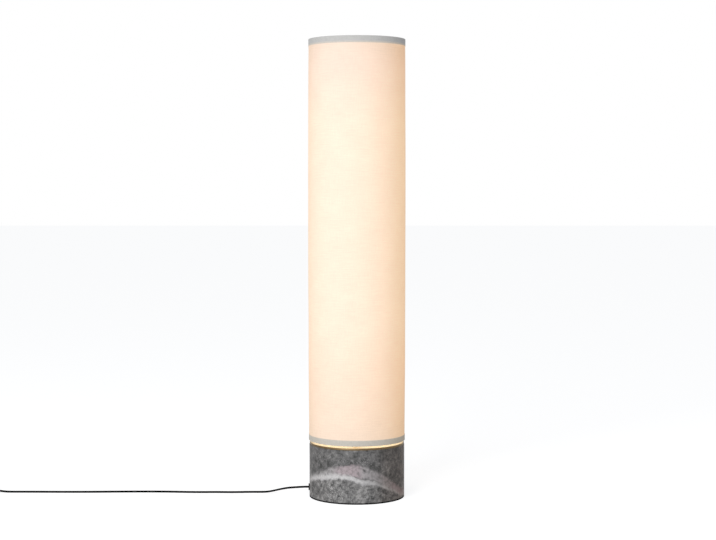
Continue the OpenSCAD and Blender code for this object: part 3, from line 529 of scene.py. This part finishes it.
def honed_marble():
    """Honed dark grey marble. It gives a soft mottle of grey crystals, crossed at the front by a bright
    streak with a ragged cloud above it, pinkish in places, and hardly any shine."""
    made, tree = blank("honed_grey_marble")
    place = add(tree, "TexCoord", out="Object")
    sway = add(tree, "TexNoise", {"Vector": place, "Scale": 60.0, "Detail": 2.0}, out="Color")
    centred = add(tree, "VectorMath", (sway, (0.5, 0.5, 0.5)), operation="SUBTRACT")
    shift = add(tree, "VectorMath", {0: centred, "Scale": 0.008}, operation="SCALE")
    warped = add(tree, "VectorMath", (place, shift), operation="ADD")
    xyz = add(tree, "SeparateXYZ", (place,), out=None)
    share = add(tree, "Math", (turn_of(tree, xyz), 1 / (2 * math.pi), 0.5), operation="MULTIPLY_ADD")

    ragged = marks(tree, warped, 7, 5, 4.0, 0.6)
    wander = add(tree, "Math", (ragged, 12.0, -6.0), operation="MULTIPLY_ADD")
    level = add(tree, "Math", (xyz["Z"], 1 / MM, wander), operation="MULTIPLY_ADD")
    above = add(tree, "Math", (level, by_turn(tree, share, VEIN_LOW, CURVE_TOP_MM)), operation="SUBTRACT")
    below = add(tree, "Math", (by_turn(tree, share, VEIN_HIGH, CURVE_TOP_MM), level), operation="SUBTRACT")
    rise = add(tree, "MapRange", (above, -2.0, 2.5, 0.0, 1.0))
    streak_height = by_turn(tree, share, STREAK_H, STREAK_TOP_MM)
    over_streak = add(tree, "Math", (above, streak_height), operation="SUBTRACT")
    fall = add(tree, "MapRange", (over_streak, -4.5, 2.5, 1.0, 0.0))
    crystals = add(tree, "MapRange", (marks(tree, warped, 3.5, 2.6, 3.0), 0.36, 0.56, 0.78, 1.0))
    soft_streak = add(tree, "Math", (rise, fall), operation="MULTIPLY")
    streak = add(tree, "Math", (soft_streak, crystals), operation="MULTIPLY")
    bright = add(tree, "Math", (streak, by_turn(tree, share, STREAK_FADE, 1)), operation="MULTIPLY")
    under_edge = add(tree, "MapRange", (below, -3.0, 2.5, 0.0, 1.0))
    cloud = add(tree, "Math", (rise, under_edge), operation="MULTIPLY")
    patchy = add(tree, "MapRange", (marks(tree, warped, 6, 4, 3.0), 0.36, 0.6, 0.5, 1.0))
    faint = add(tree, "Math", (cloud, by_turn(tree, share, CLOUD_FADE, 1)), operation="MULTIPLY")
    broken = add(tree, "Math", (faint, patchy), operation="MULTIPLY")
    spot = add(tree, "Math", (1.0, near(tree, warped, SPOT_AT, 0.5, 4.5)), operation="SUBTRACT")
    hazy = add(tree, "Math", (broken, spot), operation="MULTIPLY")
    whole_vein = add(tree, "Math", (bright, hazy), operation="MAXIMUM")
    off_line = add(tree, "Math", (over_streak,), operation="ABSOLUTE")
    line = add(tree, "MapRange", (off_line, 0.3, 1.6, 1.0, 0.0))
    dark_line = add(tree, "Math", (line, by_turn(tree, share, DARK_LINE_FADE, 1)), operation="MULTIPLY")
    beside_line = add(tree, "Math", (1.0, dark_line), operation="SUBTRACT")
    vein = add(tree, "Math", (whole_vein, beside_line), operation="MULTIPLY")

    up_vein = add(tree, "MapRange", (over_streak, -3.0, 2.0, 0.0, 1.0))
    grey_vein = add(tree, "ValToRGB", (up_vein,), stops=((0.0, "#C1BFBF"), (1.0, "#A5A3A3")))
    pink = add(tree, "Math", (up_vein, by_turn(tree, share, PINK_BY_TURN, 1)), operation="MULTIPLY")
    vein_colour = add(tree, "Mix", {0: pink, 6: grey_vein, 7: srgb("#FFEEF3")}, out=2, data_type="RGBA",
                      blend_type="MULTIPLY")
    stone = add(tree, "Mix", {0: pale_flecks(tree, place, warped), 6: stone_body(tree, warped, above),
                              7: srgb("#AAA8A7")}, out=2, data_type="RGBA")
    veined = add(tree, "Mix", {0: vein, 6: stone, 7: vein_colour}, out=2, data_type="RGBA")
    colour = add(tree, "Mix", {0: by_turn(tree, share, BROWN_BY_TURN, 1), 6: veined, 7: srgb("#FFECDE")},
                 out=2, data_type="RGBA", blend_type="MULTIPLY")
    shader = add(tree, "BsdfPrincipled", {
        "Base Color": colour, "Specular IOR Level": 0.25,
        "Roughness": add(tree, "MapRange", (marks(tree, warped, 8, 9, 2.0), 0.3, 0.7, 0.48, 0.62))})
    add(tree, "OutputMaterial", {"Surface": shader})
    return made


# ---------- Metals ----------

PLATE_R = box_mm("brass_plate")[1].x
# Distances in from the plate's edge at which its dark brown rim colour starts and is full
DARK_RIM_FROM = 0.6
DARK_RIM_FULL = 0.3
# Bare length at the tip of a sleeved pin
PIN_BARE_L = 9


def lathe_rings(tree):
    """Fine rings round the upright axis, as a lathe tool leaves them, drawn 0.8 mm apart so that they show.
    It gives the rings and the radius."""
    place = add(tree, "TexCoord", out="Object")
    xyz = add(tree, "SeparateXYZ", (place,), out=None)
    flat = add(tree, "CombineXYZ", (xyz["X"], xyz["Y"]))
    radius = add(tree, "VectorMath", (flat,), out="Value", operation="LENGTH")
    return marks(tree, add(tree, "CombineXYZ", (radius, xyz["Z"])), 0.8, 0.8, 3.0), radius


def turned_brass():
    """Turned brass without lacquer. It gives a warm yellow with fine rings, dulled here and there by
    touch."""
    made, tree = blank("turned_brass")
    rings, _ = lathe_rings(tree)
    touched = marks(tree, add(tree, "TexCoord", out="Object"), 9, 9, 3.0)
    shader = add(tree, "BsdfPrincipled", {
        "Base Color": add(tree, "ValToRGB", (rings,), stops=((0.3, "#B38D4E"), (0.7, "#D2AE6C"))),
        "Roughness": add(tree, "MapRange", (touched, 0.35, 0.65, 0.26, 0.4)),
        "Normal": add(tree, "Bump", {"Height": rings, "Distance": 0.01 * MM}), "Metallic": 1.0})
    add(tree, "OutputMaterial", {"Surface": shader})
    return made


def satin_brass_sheet():
    """Satin brass sheet, dark brown at its rim. It gives the pale bright line in the gap and the dark line
    under it."""
    made, tree = blank("satin_brass_sheet")
    rings, radius = lathe_rings(tree)
    face = add(tree, "ValToRGB", (rings,), stops=((0.3, "#DAD3C6"), (0.7, "#EAE4D9")))
    rim = add(tree, "MapRange", (radius, (PLATE_R - DARK_RIM_FROM) * MM, (PLATE_R - DARK_RIM_FULL) * MM,
                                 0.0, 1.0))
    shader = add(tree, "BsdfPrincipled", {
        "Base Color": add(tree, "Mix", {0: rim, 6: face, 7: srgb("#6E5D44")}, out=2, data_type="RGBA"),
        "Roughness": add(tree, "MapRange", (rings, 0.3, 0.7, 0.4, 0.5)),
        "Normal": add(tree, "Bump", {"Height": rings, "Distance": 0.01 * MM}), "Metallic": 1.0})
    add(tree, "OutputMaterial", {"Surface": shader})
    return made


def plug_pin_metal():
    """Nickel plated pins with moulded sleeves. It gives black shanks next to the plug and bright tips."""
    made, tree = blank("sleeved_nickel_pin")
    place = add(tree, "TexCoord", out="Object")
    bare_from = box_mm("plug_pins")[1].x - PIN_BARE_L
    along = add(tree, "SeparateXYZ", (place,), out="X")
    bare = add(tree, "Math", (along, bare_from * MM), operation="GREATER_THAN")
    tip = mottled(tree, place, 4, "#C4C2BD", "#DDDBD7")
    shader = add(tree, "BsdfPrincipled", {
        "Base Color": add(tree, "Mix", {0: bare, 6: srgb("#151515"), 7: tip}, out=2, data_type="RGBA"),
        "Metallic": bare, "Roughness": 0.3})
    add(tree, "OutputMaterial", {"Surface": shader})
    return made


# ---------- Light ----------

def opal_polycarbonate():
    """Opal polycarbonate globe over an LED. It gives an even warm white light."""
    made, tree = blank("opal_polycarbonate_lit")
    place = add(tree, "TexCoord", out="Object")
    shader = add(tree, "BsdfPrincipled", {
        "Base Color": mottled(tree, place, 14, "#FFF3DF", "#FFF8EA"), "Roughness": 0.3,
        "Emission Color": mottled(tree, place, 14, "#FFEDD6", "#FFF2E0"), "Emission Strength": 1.5})
    add(tree, "OutputMaterial", {"Surface": shader})
    return made


linen = linen_canvas()
liner_film = film_liner()
tape = cotton_tape()
marble = honed_marble()
brass = turned_brass()
plate_brass = satin_brass_sheet()
pin_metal = plug_pin_metal()
opal = opal_polycarbonate()
# Zinc plated mild steel: a slightly blue grey with a faint spangle
zinc = plain_finish("zinc_plated_steel", 3, "#9EA0A5", "#C4C6CA", Metallic=1.0, Roughness=0.36)
# Nickel plated brass of the bulb caps: a bright, slightly warm silver
nickel = plain_finish("nickel_plated_brass", 4, "#C4C2BD", "#DDDBD7", Metallic=1.0, Roughness=0.2)
# Polyester powder coat on steel: a soft white with a faint orange peel of 1.2 mm
powder = plain_finish("white_powder_coat", 7, "#DCDAD4", "#E9E7E2", 1.2, 0.03, Roughness=0.42)
# Moulded urea of the lampholders and the terminal block: a dense milky white
urea = plain_finish("moulded_urea", 12, "#E6E3DB", "#EFEDE7", 2.5, 0.01, Roughness=0.34)
# Extruded PVC of the cord: a dull black with a soft broad shine
flex = plain_finish("extruded_black_pvc", 8, "#070707", "#101010", 1.5, 0.02, Roughness=0.75,
                    Specular_IOR_Level=0.0)
# Moulded ABS with a spark eroded texture, drawn at half a millimetre: a fine matt black
abs_black = plain_finish("moulded_black_abs", 8, "#101011", "#1C1C1D", 0.5, 0.025, Roughness=0.48,
                         Specular_IOR_Level=0.3)
# Closed-cell EVA foam: a dull black line under the stone
foam = plain_finish("closed_cell_eva_foam", 2, "#050505", "#101010", 0.8, 0.06, Roughness=0.95,
                    Specular_IOR_Level=0.0)
# Silicone insulation of the single wires: a satin brick red
insulation = plain_finish("silicone_insulation", 10, "#7C2A20", "#94392C", Roughness=0.5)

NODE_FINISH = {
    "marble_base": marble, "bottom_cover": zinc, "cover_screws": zinc, "stem_washer": zinc,
    "lower_nut": zinc, "clamp_screws": zinc, "terminal_screws": zinc, "switch_screws": zinc,
    "cover_inserts": brass, "stem_tube": brass, "upper_nut": brass, "shade_seat": brass,
    "switch_contacts": brass, "top_frame": powder, "bottom_ring": powder, "terminal_block": urea,
    "cord_gland": flex, "inner_cord": flex, "coil_tie": flex, "cord_clamp": abs_black,
    "clamp_bar": abs_black, "plug_pins": pin_metal,
}
for k in LEVELS:
    NODE_FINISH[f"lamp_arm_{k}"] = powder
    NODE_FINISH[f"contacts_{k}"] = brass
    NODE_FINISH[f"bulb_globe_{k}"] = opal


def finish_piece(piece, finish):
    """Gives a piece its one material."""
    if not piece.material_slots:
        piece.data.materials.append(finish)
    for used in piece.material_slots:
        used.material = finish


def dress(piece, finish, body, slot, *nodes):
    """A modelled piece rides on a body and takes the place of CAD nodes."""
    finish_piece(piece, finish)
    if nodes:
        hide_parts(*nodes)
    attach(piece, body)
    return piece


for node_name, node_finish in NODE_FINISH.items():
    finish_piece(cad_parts[node_name], node_finish)
dress(flat_cord, flex, "base", "black_rubber", "cord_run", "cord_link", "cord_coil", "cord_tail")


# ---------- Base ----------

pad_high = box_mm("base_pad")[1]
plate_low, plate_high = box_mm("brass_plate")
PAD_INNER_R = 39.3
STEM_HOLE_R = 5.2

foam_pad = turned("foam_pad", soften([
    (PAD_INNER_R, 0), (pad_high.x, 0), (pad_high.x, pad_high.z), (PAD_INNER_R, pad_high.z)], 0.5), 192)
dress(foam_pad, foam, "base", "foam_pad", "base_pad")

top_plate = turned("top_plate", soften([
    (STEM_HOLE_R, plate_low.z), (plate_high.x, plate_low.z), (plate_high.x, plate_high.z),
    (STEM_HOLE_R, plate_high.z)], 0.35), 192)
dress(top_plate, plate_brass, "base", "brass", "brass_plate")


# ---------- Stem ----------

STEM_R = 5
THREAD_PITCH = 1.5
THREAD_RINGS_PER_TURN = 36
THREAD_SECTION = ((-0.1, -0.55), (0.24, -0.08), (0.24, 0.08), (-0.1, 0.55))


def thread_ridge(name, z_low, z_high):
    """The screw thread's ridge, wound round the stem."""
    turns = (z_high - z_low) / THREAD_PITCH
    steps = round(turns * THREAD_RINGS_PER_TURN)
    rings = []
    for i in range(steps + 1):
        a = 2 * math.pi * turns * i / steps
        z = z_low + (z_high - z_low) * i / steps
        rings.append([((STEM_R + out) * math.cos(a), (STEM_R + out) * math.sin(a), z + up)
                      for out, up in THREAD_SECTION])
    return loft(name, rings)


seat_top_z = box_mm("shade_seat")[1].z
nut_top_z = box_mm("upper_nut")[1].z
stem_top_z = box_mm("stem_tube")[1].z
dress(thread_ridge("stem_thread_top", seat_top_z + 1, stem_top_z - 1), brass, "base", "brass")
dress(thread_ridge("stem_thread_bottom", nut_top_z + 0.8, nut_top_z + 14), brass, "base", "brass")

finial_low, finial_high = box_mm("finial")
FINIAL_HOLE_R = 5.3
FINIAL_HOLE_H = 17
FINIAL_R = 8
KNOB_R = 7
KNURLS = 48
KNURL_DEPTH = 0.3


def knurl(angle, r, z):
    """Straight knurling round the finial's foot."""
    if r < FINIAL_R - 0.1 or not finial_low.z + 0.6 < z < finial_low.z + 2.6:
        return 0
    return -KNURL_DEPTH * (0.5 - 0.5 * math.cos(KNURLS * angle))


def finial_outline():
    z = finial_low.z
    dome_z = finial_high.z - KNOB_R
    foot = [(FINIAL_HOLE_R, z), (7.6, z), (FINIAL_R, z + 0.4)]
    foot += [(FINIAL_R, z + up) for up in (0.9, 1.5, 2.2, 2.7)]
    neck = [(7.6, z + 3.1), (6.3, z + 3.6), (6, z + 4.6), (6.6, z + 6), (KNOB_R, z + 7.2)]
    dome = [(KNOB_R * math.cos(math.radians(d)), dome_z + KNOB_R * math.sin(math.radians(d)))
            for d in range(0, 90, 9)]
    hole = [(0, finial_high.z), (0, z + FINIAL_HOLE_H), (FINIAL_HOLE_R, z + FINIAL_HOLE_H)]
    return foot + neck + dome + hole


finial_knob = turned("finial_knob", finial_outline(), 8 * KNURLS, knurl, sharp_degrees=30)
dress(finial_knob, brass, "finial", "brass", "finial")


# ---------- Lampholders, bulb caps and wires ----------

BULB_OFFSET = 30
BULB_TURN = {1: -90, 2: 30, 3: 150}
ARM_T = 3
HOLDER_R = 13
HOLDER_BORE_R = 8.4
HOLDER_FLOOR = 10
CONTACT_BORE_R = 2.3
WIRE_HOLE_R = 2.2
HOLDER_RIBS = 24
RIB_DEPTH = 0.45
CAP_R = 6.95
CAP_PITCH = 2.82
CAP_THREAD_DEPTH = 0.4


def bulb_axis(k):
    a = math.radians(BULB_TURN[k])
    return BULB_OFFSET * math.cos(a), BULB_OFFSET * math.sin(a)


def lampholder(k):
    """Moulded holder: a foot, a ribbed grip, a plain barrel and a lip round its bore."""
    low, high = box_mm(f"lampholder_{k}")
    z = low.z
    top = high.z
    barrel_r = HOLDER_R - 0.8
    grip_low = z + 8.5
    grip_high = z + 19.5

    def ribs(angle, r, height):
        if r < HOLDER_R - 0.05 or not grip_low < height < grip_high:
            return 0
        return -RIB_DEPTH * (0.5 - 0.5 * math.cos(HOLDER_RIBS * angle)) ** 2

    outside = [(WIRE_HOLE_R, z), (barrel_r - 0.7, z), (barrel_r, z + 0.7), (barrel_r, z + 7.5),
               (HOLDER_R, z + 8.2), (HOLDER_R, z + 8.8), (HOLDER_R, z + 14), (HOLDER_R, z + 19.2),
               (HOLDER_R, z + 19.8), (barrel_r, z + 20.6), (barrel_r, top - 3.2), (HOLDER_R, top - 2.6),
               (HOLDER_R, top - 0.7), (HOLDER_R - 0.7, top), (HOLDER_BORE_R + 0.8, top)]
    inside = [(HOLDER_BORE_R, top - 0.8), (HOLDER_BORE_R, z + HOLDER_FLOOR),
              (CONTACT_BORE_R, z + HOLDER_FLOOR), (CONTACT_BORE_R, z + HOLDER_FLOOR / 2),
              (WIRE_HOLE_R, z + HOLDER_FLOOR / 2)]
    piece = turned(f"ribbed_lampholder_{k}", outside + inside, 8 * HOLDER_RIBS, ribs, bulb_axis(k), 30)
    dress(piece, urea, "base", "holder_plastic", f"lampholder_{k}")


def bulb_cap(k):
    """Screw cap: a rolled thread over a dark insulator, with a contact at its end."""
    low, high = box_mm(f"bulb_cap_{k}")
    z = low.z
    axis = bulb_axis(k)
    shell_z = z + 4.5
    thread_low = shell_z + 1.2
    thread_high = high.z - 3
    rows = 48

    def thread(angle, r, height):
        if not thread_low < height < thread_high or r < CAP_R - 1:
            return 0
        return -CAP_THREAD_DEPTH * (0.5 - 0.5 * math.cos(2 * math.pi * height / CAP_PITCH - angle))

    side = [(CAP_R, thread_low + (thread_high - thread_low) * i / rows) for i in range(rows + 1)]
    shell = [(0, shell_z), (CAP_R - 0.6, shell_z)] + side + [
        (CAP_R, high.z - 0.4), (CAP_R - 0.4, high.z), (0, high.z)]
    dress(turned(f"cap_shell_{k}", shell, 72, thread, axis, 60), nickel, f"bulb_{k}", "cap_metal",
          f"bulb_cap_{k}")
    cone = [(0, z + 2.5), (4.5, z + 2.5), (5.6, z + 3.4), (6.3, shell_z), (0, shell_z)]
    dress(turned(f"cap_insulator_{k}", cone, 48, None, axis), abs_black, f"bulb_{k}", "cap_metal")
    eyelet = [(0, z), (1.8, z), (2.4, z + 0.5), (2.4, z + 2.5), (0, z + 2.5)]
    dress(turned(f"cap_contact_{k}", eyelet, 36, None, axis), nickel, f"bulb_{k}", "cap_metal")


STRAND_R = 0.5
TWIST_PITCH = 16


def lead_pair(k):
    """Two insulated wires twisted together, from the base up the stem, out of its side and under the arm."""
    holder_z = box_mm(f"lampholder_{k}")[0].z
    z = holder_z - ARM_T
    reach = ((2.05, box_mm(f"wires_{k}")[0].z), (2.05, z - 60), (2.05, z - 28), (2.4, z - 23),
             (3.4, z - 19.8), (5.2, z - 18), (8, z - 15.8), (12, z - 13), (16, z - 10.5), (22, z - 8.8),
             (BULB_OFFSET - 3, z - 7.2), (BULB_OFFSET - 0.5, z - 4.8), (BULB_OFFSET, z - 2),
             (BULB_OFFSET, holder_z + HOLDER_FLOOR / 2))
    a = math.radians(BULB_TURN[k])
    route = smooth([(r * math.cos(a), r * math.sin(a), up) for r, up in reach], 8)
    level = Vector((-math.sin(a), math.cos(a), 0))
    for strand, name in enumerate(("live", "neutral")):
        wound = []
        walked = 0
        for i, point in enumerate(route):
            walked += (point - route[max(i - 1, 0)]).length
            twist = 2 * math.pi * walked / TWIST_PITCH + math.pi * strand
            above = level.cross(heading(route, i))
            wound.append(point + (level * math.cos(twist) + above * math.sin(twist)) * STRAND_R)
        piece = swept(f"lead_{k}_{name}", wound, round_section(STRAND_R, 8), level)
        dress(piece, insulation, "base", "wire_sheath", f"wires_{k}")


for k in LEVELS:
    lampholder(k)
    bulb_cap(k)
    lead_pair(k)


# ---------- Shade ----------

FABRIC_T = 0.6
# Distance of the film's outer face in from the linen's
FILM_INSET = 0.95
FILM_R = SHADE_R - FILM_INSET
FILM_T = 0.25
SEAM_RISE = 0.35
SWELL = 1.1
DRIFT = 0.28
# Distance from a rim over which the drift dies away
HELD_H = 30
BACK = math.pi / 2
cloth_low, cloth_high = box_mm("shade_fabric")


def lap(angle, width, rise):
    """How far the glued overlap down the back stands proud."""
    return rise if abs(angle - BACK) * SHADE_R < width / 2 else 0


def swell(z):
    """The laminate swells a little between its two rings."""
    u = 2 * (z - cloth_low.z) / (cloth_high.z - cloth_low.z) - 1
    return SWELL * (1 - u ** 2)


def cloth_drift(angle, r, z):
    """The cloth's slight unevenness, which dies away under the tapes, and its overlap down the back."""
    hold = max(0, min(1, (z - cloth_low.z) / HELD_H, (cloth_high.z - z) / HELD_H))
    around = Vector((math.cos(angle) * 2.2, math.sin(angle) * 2.2, z / 90))
    outside = r > SHADE_R - 0.1
    uneven = DRIFT * hold * noise.noise(around)
    return swell(z) + uneven + outside * min(1, hold * 6) * lap(angle, SEAM_W, SEAM_RISE)


def cloth_tube(name, outer, wall, rows, shape, steps):
    outline = [(outer, cloth_low.z + (cloth_high.z - cloth_low.z) * k / rows) for k in range(rows + 1)]
    outline += [(r - wall, z) for r, z in reversed(outline)]
    return turned(name, outline, steps, shape)


linen_cover = cloth_tube("linen_cover", SHADE_R, FABRIC_T, 60, cloth_drift, 400)
dress(linen_cover, linen, "shade", "linen", "shade_fabric")
dress(cloth_tube("film_liner", FILM_R, FILM_T, 30, lambda angle, r, z: swell(z), 192), liner_film, "shade",
      "liner_film", "shade_liner")


def rim_tape(name, node, rim_z, leg):
    """Tape folded over a rim: a tall leg outside and a short one inside. leg is negative at the top rim."""
    t = 0.4
    out = SHADE_R + 0.05
    inner = SHADE_R - 1.2
    way = math.copysign(1, leg)
    fold = 2.5 * way
    outline = [(out + t, rim_z), (out + t, rim_z + leg), (out, rim_z + leg), (out, rim_z + way * t),
               (inner, rim_z + way * t), (inner, rim_z + fold), (inner - t, rim_z + fold), (inner - t, rim_z)]
    piece = turned(name, soften(outline, 0.3), 400,
                   lambda angle, r, z: lap(angle, SEAM_W + 4, 0.4) if r > SHADE_R else 0)
    dress(piece, tape, "shade", "grey_tape", node)


tape_top_low, tape_top_high = box_mm("top_trim")
tape_bottom_low, tape_bottom_high = box_mm("bottom_trim")
rim_tape("upper_rim_tape", "top_trim", tape_top_high.z, tape_top_low.z - tape_top_high.z)
rim_tape("lower_rim_tape", "bottom_trim", tape_bottom_low.z, tape_bottom_high.z - tape_bottom_low.z)


# ---------- Switch on the cord ----------

SWITCH_L = 60
SWITCH_W = 26
SWITCH_CORNER = 8
SWITCH_SPLIT_Z = 10
SWITCH_TOP_Z = 17
SLOT_L = 21
SLOT_W = 9
PIVOT_Z = 14
ROCKER_TILT = math.radians(8)
FOOT_Z = 0.05
FOOT_EDGE_R = 1.6
SPLIT_GAP = 0.05
SPLIT_EDGE_R = 0.4
TOP_EDGE_R = 2.4
# Grooves round a sleeve, the last of them cut short before the sleeve's end
SLEEVE_GROOVES = 5
GROOVE_DEPTH = 0.45
SLEEVE_END_R = 3.1
SWITCH_SLEEVE_R = 4.2
# How far a sleeve's wide end reaches into the switch
SWITCH_SLEEVE_SUNK = 0.3


def moved(points, x, y, z):
    return [(px + x, py + y, z) for px, py in points]


def edge_rings(z_edge, z_in, radius, steps=4):
    """Rings of a rounded edge of the switch, from its side at z_edge to the face at z_in."""
    out = []
    for k in range(steps + 1):
        a = math.pi / 2 * k / steps
        inset = radius * (1 - math.cos(a))
        outline = rounded_outline(SWITCH_L - 2 * inset, SWITCH_W - 2 * inset, SWITCH_CORNER - inset)
        out.append(moved(outline, *SWITCH_AT, z_edge + (z_in - z_edge) * math.sin(a)))
    return out


def switch_bottom():
    """The housing's lower half, with a soft lower edge and a fine groove where the halves meet."""
    rings = list(reversed(edge_rings(FOOT_EDGE_R, FOOT_Z, FOOT_EDGE_R)))
    rings += edge_rings(SWITCH_SPLIT_Z - SPLIT_EDGE_R, SWITCH_SPLIT_Z, SPLIT_EDGE_R)
    return loft("switch_lower_half", rings)


def switch_top():
    """The housing's upper half, with a rounded top edge and the rocker's slot right through it."""
    low = SWITCH_SPLIT_Z + SPLIT_GAP
    rings = list(reversed(edge_rings(low + SPLIT_EDGE_R, low, SPLIT_EDGE_R)))
    rings += edge_rings(SWITCH_TOP_Z - TOP_EDGE_R, SWITCH_TOP_Z, TOP_EDGE_R)
    rings += [moved(rounded_outline(SLOT_L + 1, SLOT_W + 1, 1.2), *SWITCH_AT, SWITCH_TOP_Z),
              moved(rounded_outline(SLOT_L, SLOT_W, 0.8), *SWITCH_AT, SWITCH_TOP_Z - 0.5),
              moved(rounded_outline(SLOT_L, SLOT_W, 0.8), *SWITCH_AT, low)]
    return loft("switch_upper_half", rings, loop=True)


def ribbed_sleeve(name, x_wide, direction, y, z, wide, narrow):
    """A tapered sleeve with ribs, from its wide end outwards, that keeps the flex from kinking."""
    rings = []
    steps = 60
    wave = 2 * math.pi * SLEEVE_GROOVES
    for k in range(steps + 1):
        u = k / steps
        groove = GROOVE_DEPTH * max(0, -math.sin(wave * u)) ** 0.5 if 0.1 < u < 0.95 else 0
        r = wide + (narrow - wide) * u - groove
        rings.append([(x_wide + direction * SLEEVE_L * u, y + dy, z + dz) for dy, dz in round_section(r, 28)])
    return dress(loft(name, rings), flex, "base", "black_rubber")


def rocker_key():
    """A dished rocker, pressed down at its end away from the lamp, with three grip ribs at each end."""
    half = 9.5
    half_w = 4.2
    outline = [(-half, 1.2), (-half, 4.4)]
    for i in range(13):
        x = -half + 0.7 + i * (2 * half - 1.4) / 12
        dish = 3.5 + 0.9 * (x / half) ** 2
        outline.append((x, dish + (0.25 if i in (0, 2, 4, 8, 10, 12) else 0)))
    outline += [(half, 4.4), (half, 1.2), (2.2, -1.8), (-2.2, -1.8)]
    rings = []
    for y, inset in ((-half_w, 0.35), (-half_w + 0.12, 0.1), (-half_w + 0.4, 0), (half_w - 0.4, 0),
                     (half_w - 0.12, 0.1), (half_w, 0.35)):
        ring = []
        for x, z in soften(outline, 0.35, 2):
            x *= 1 - inset / half
            z -= inset if z > 2 else 0
            ring.append((SWITCH_AT[0] + x * math.cos(ROCKER_TILT) - z * math.sin(ROCKER_TILT),
                         SWITCH_AT[1] + y,
                         PIVOT_Z + x * math.sin(ROCKER_TILT) + z * math.cos(ROCKER_TILT)))
        rings.append(ring)
    return loft("rocker_key", rings)


lower_half = dress(switch_bottom(), abs_black, "base", "black_plastic", "switch_base")
upper_half = dress(switch_top(), abs_black, "base", "black_plastic", "switch_cover")
rocker = dress(rocker_key(), abs_black, "rocker", "black_plastic", "switch_rocker")
lamp_sleeve = ribbed_sleeve("switch_sleeve_lamp_side", SWITCH_AT[0] + SWITCH_L / 2 - SWITCH_SLEEVE_SUNK, 1,
                            SWITCH_AT[1], PORT_Z, SWITCH_SLEEVE_R, SLEEVE_END_R)
coil_sleeve = ribbed_sleeve("switch_sleeve_coil_side", SWITCH_AT[0] - SWITCH_L / 2 + SWITCH_SLEEVE_SUNK, -1,
                            SWITCH_AT[1], PORT_Z, SWITCH_SLEEVE_R, SLEEVE_END_R)


# ---------- Plug ----------

PLUG_L = 36
PLUG_W = 35
PLUG_SLEEVE_R = 5.0
# How far the sleeve's wide end reaches into the plug
PLUG_SLEEVE_SUNK = 0.5
# Along the plug from its sleeve: distance, width, thickness and corner radius of its section
PLUG_STATIONS = (
    (0, 15, 10.5, 3), (0.6, 16.6, 11.8, 4), (2.5, 18.4, 12.6, 4.5), (9, 22, 13.4, 5),
    (16, 28.5, PLUG_T, 5.5), (22, 33, PLUG_T, 5.5), (27, 34.6, PLUG_T, 5.5), (33, PLUG_W, PLUG_T, 5.5),
    (35.2, 34.6, 13.3, 5.2), (PLUG_L, 33.6, 12.4, 4.8),
)


def plug_moulding():
    """A flat two-pin plug: an oval grip that widens to the pin face, with soft edges."""
    rings = []
    for along, width, height, corner in PLUG_STATIONS:
        rings.append([(PLUG_AT[0] + SLEEVE_L + along, PLUG_AT[1] + y, PLUG_Z + z)
                      for y, z in rounded_outline(width, height, corner)])
    return loft("plug_moulding", rings)


plug = dress(plug_moulding(), abs_black, "base", "black_plastic", "plug_body")
plug_sleeve = ribbed_sleeve("plug_sleeve", PLUG_AT[0] + SLEEVE_L + PLUG_SLEEVE_SUNK, -1, PLUG_AT[1], PLUG_Z,
                            PLUG_SLEEVE_R, SLEEVE_END_R)


# ---------- Floor, world and lights ----------

FLOOR_HALF = 20
FLOOR_SEEN = 0.80
FLOOR_COLOUR = "#B8B8B8"
AMBIENT = "#9A9DA1"


def seen_directly(tree):
    """1 for rays from the camera, in reflections and through glass, and 0 for the light on the object."""
    rays = add(tree, "LightPath", out=None)
    either = add(tree, "Math", (rays["Is Camera Ray"], rays["Is Glossy Ray"]), operation="MAXIMUM")
    return add(tree, "Math", (either, rays["Is Transmission Ray"]), operation="MAXIMUM")


def pale_floor():
    corners = [(x * FLOOR_HALF, y * FLOOR_HALF, 0) for x, y in ((-1, -1), (1, -1), (1, 1), (-1, 1))]
    mesh = bpy.data.meshes.new("floor")
    mesh.from_pydata(corners, [], [(0, 1, 2, 3)])
    ground = bpy.data.objects.new("floor", mesh)
    bpy.context.scene.collection.objects.link(ground)
    made, tree = blank("pale_studio_floor")
    matt = add(tree, "BsdfDiffuse", {"Color": srgb(FLOOR_COLOUR)})
    level = add(tree, "Math", (seen_directly(tree), FLOOR_SEEN), operation="MULTIPLY")
    white = add(tree, "Emission", {"Color": (1, 1, 1, 1), "Strength": level})
    add(tree, "OutputMaterial", {"Surface": add(tree, "AddShader", (matt, white))})
    mesh.materials.append(made)


def white_world():
    world = bpy.data.worlds.new("studio")
    bpy.context.scene.world = world
    world.use_nodes = True
    tree = world.node_tree
    tree.nodes.clear()
    colour = add(tree, "Mix", {0: seen_directly(tree), 6: srgb(AMBIENT), 7: (1, 1, 1, 1)}, out=2,
                 data_type="RGBA")
    add(tree, "OutputWorld", {"Surface": add(tree, "Background", {"Color": colour, "Strength": 1.0})})


def softbox(name, place, aim, size, watts):
    data = bpy.data.lights.new(name, "AREA")
    data.shape = "SQUARE"
    data.size = size
    data.energy = watts
    light = bpy.data.objects.new(name, data)
    light.location = place
    light.rotation_euler = (Vector(aim) - Vector(place)).to_track_quat("-Z", "Y").to_euler()
    bpy.context.scene.collection.objects.link(light)


pale_floor()
white_world()
softbox("key_softbox", (-1.29, -2.77, 0.9), (0, 0, 0.45), 1.6, 84)
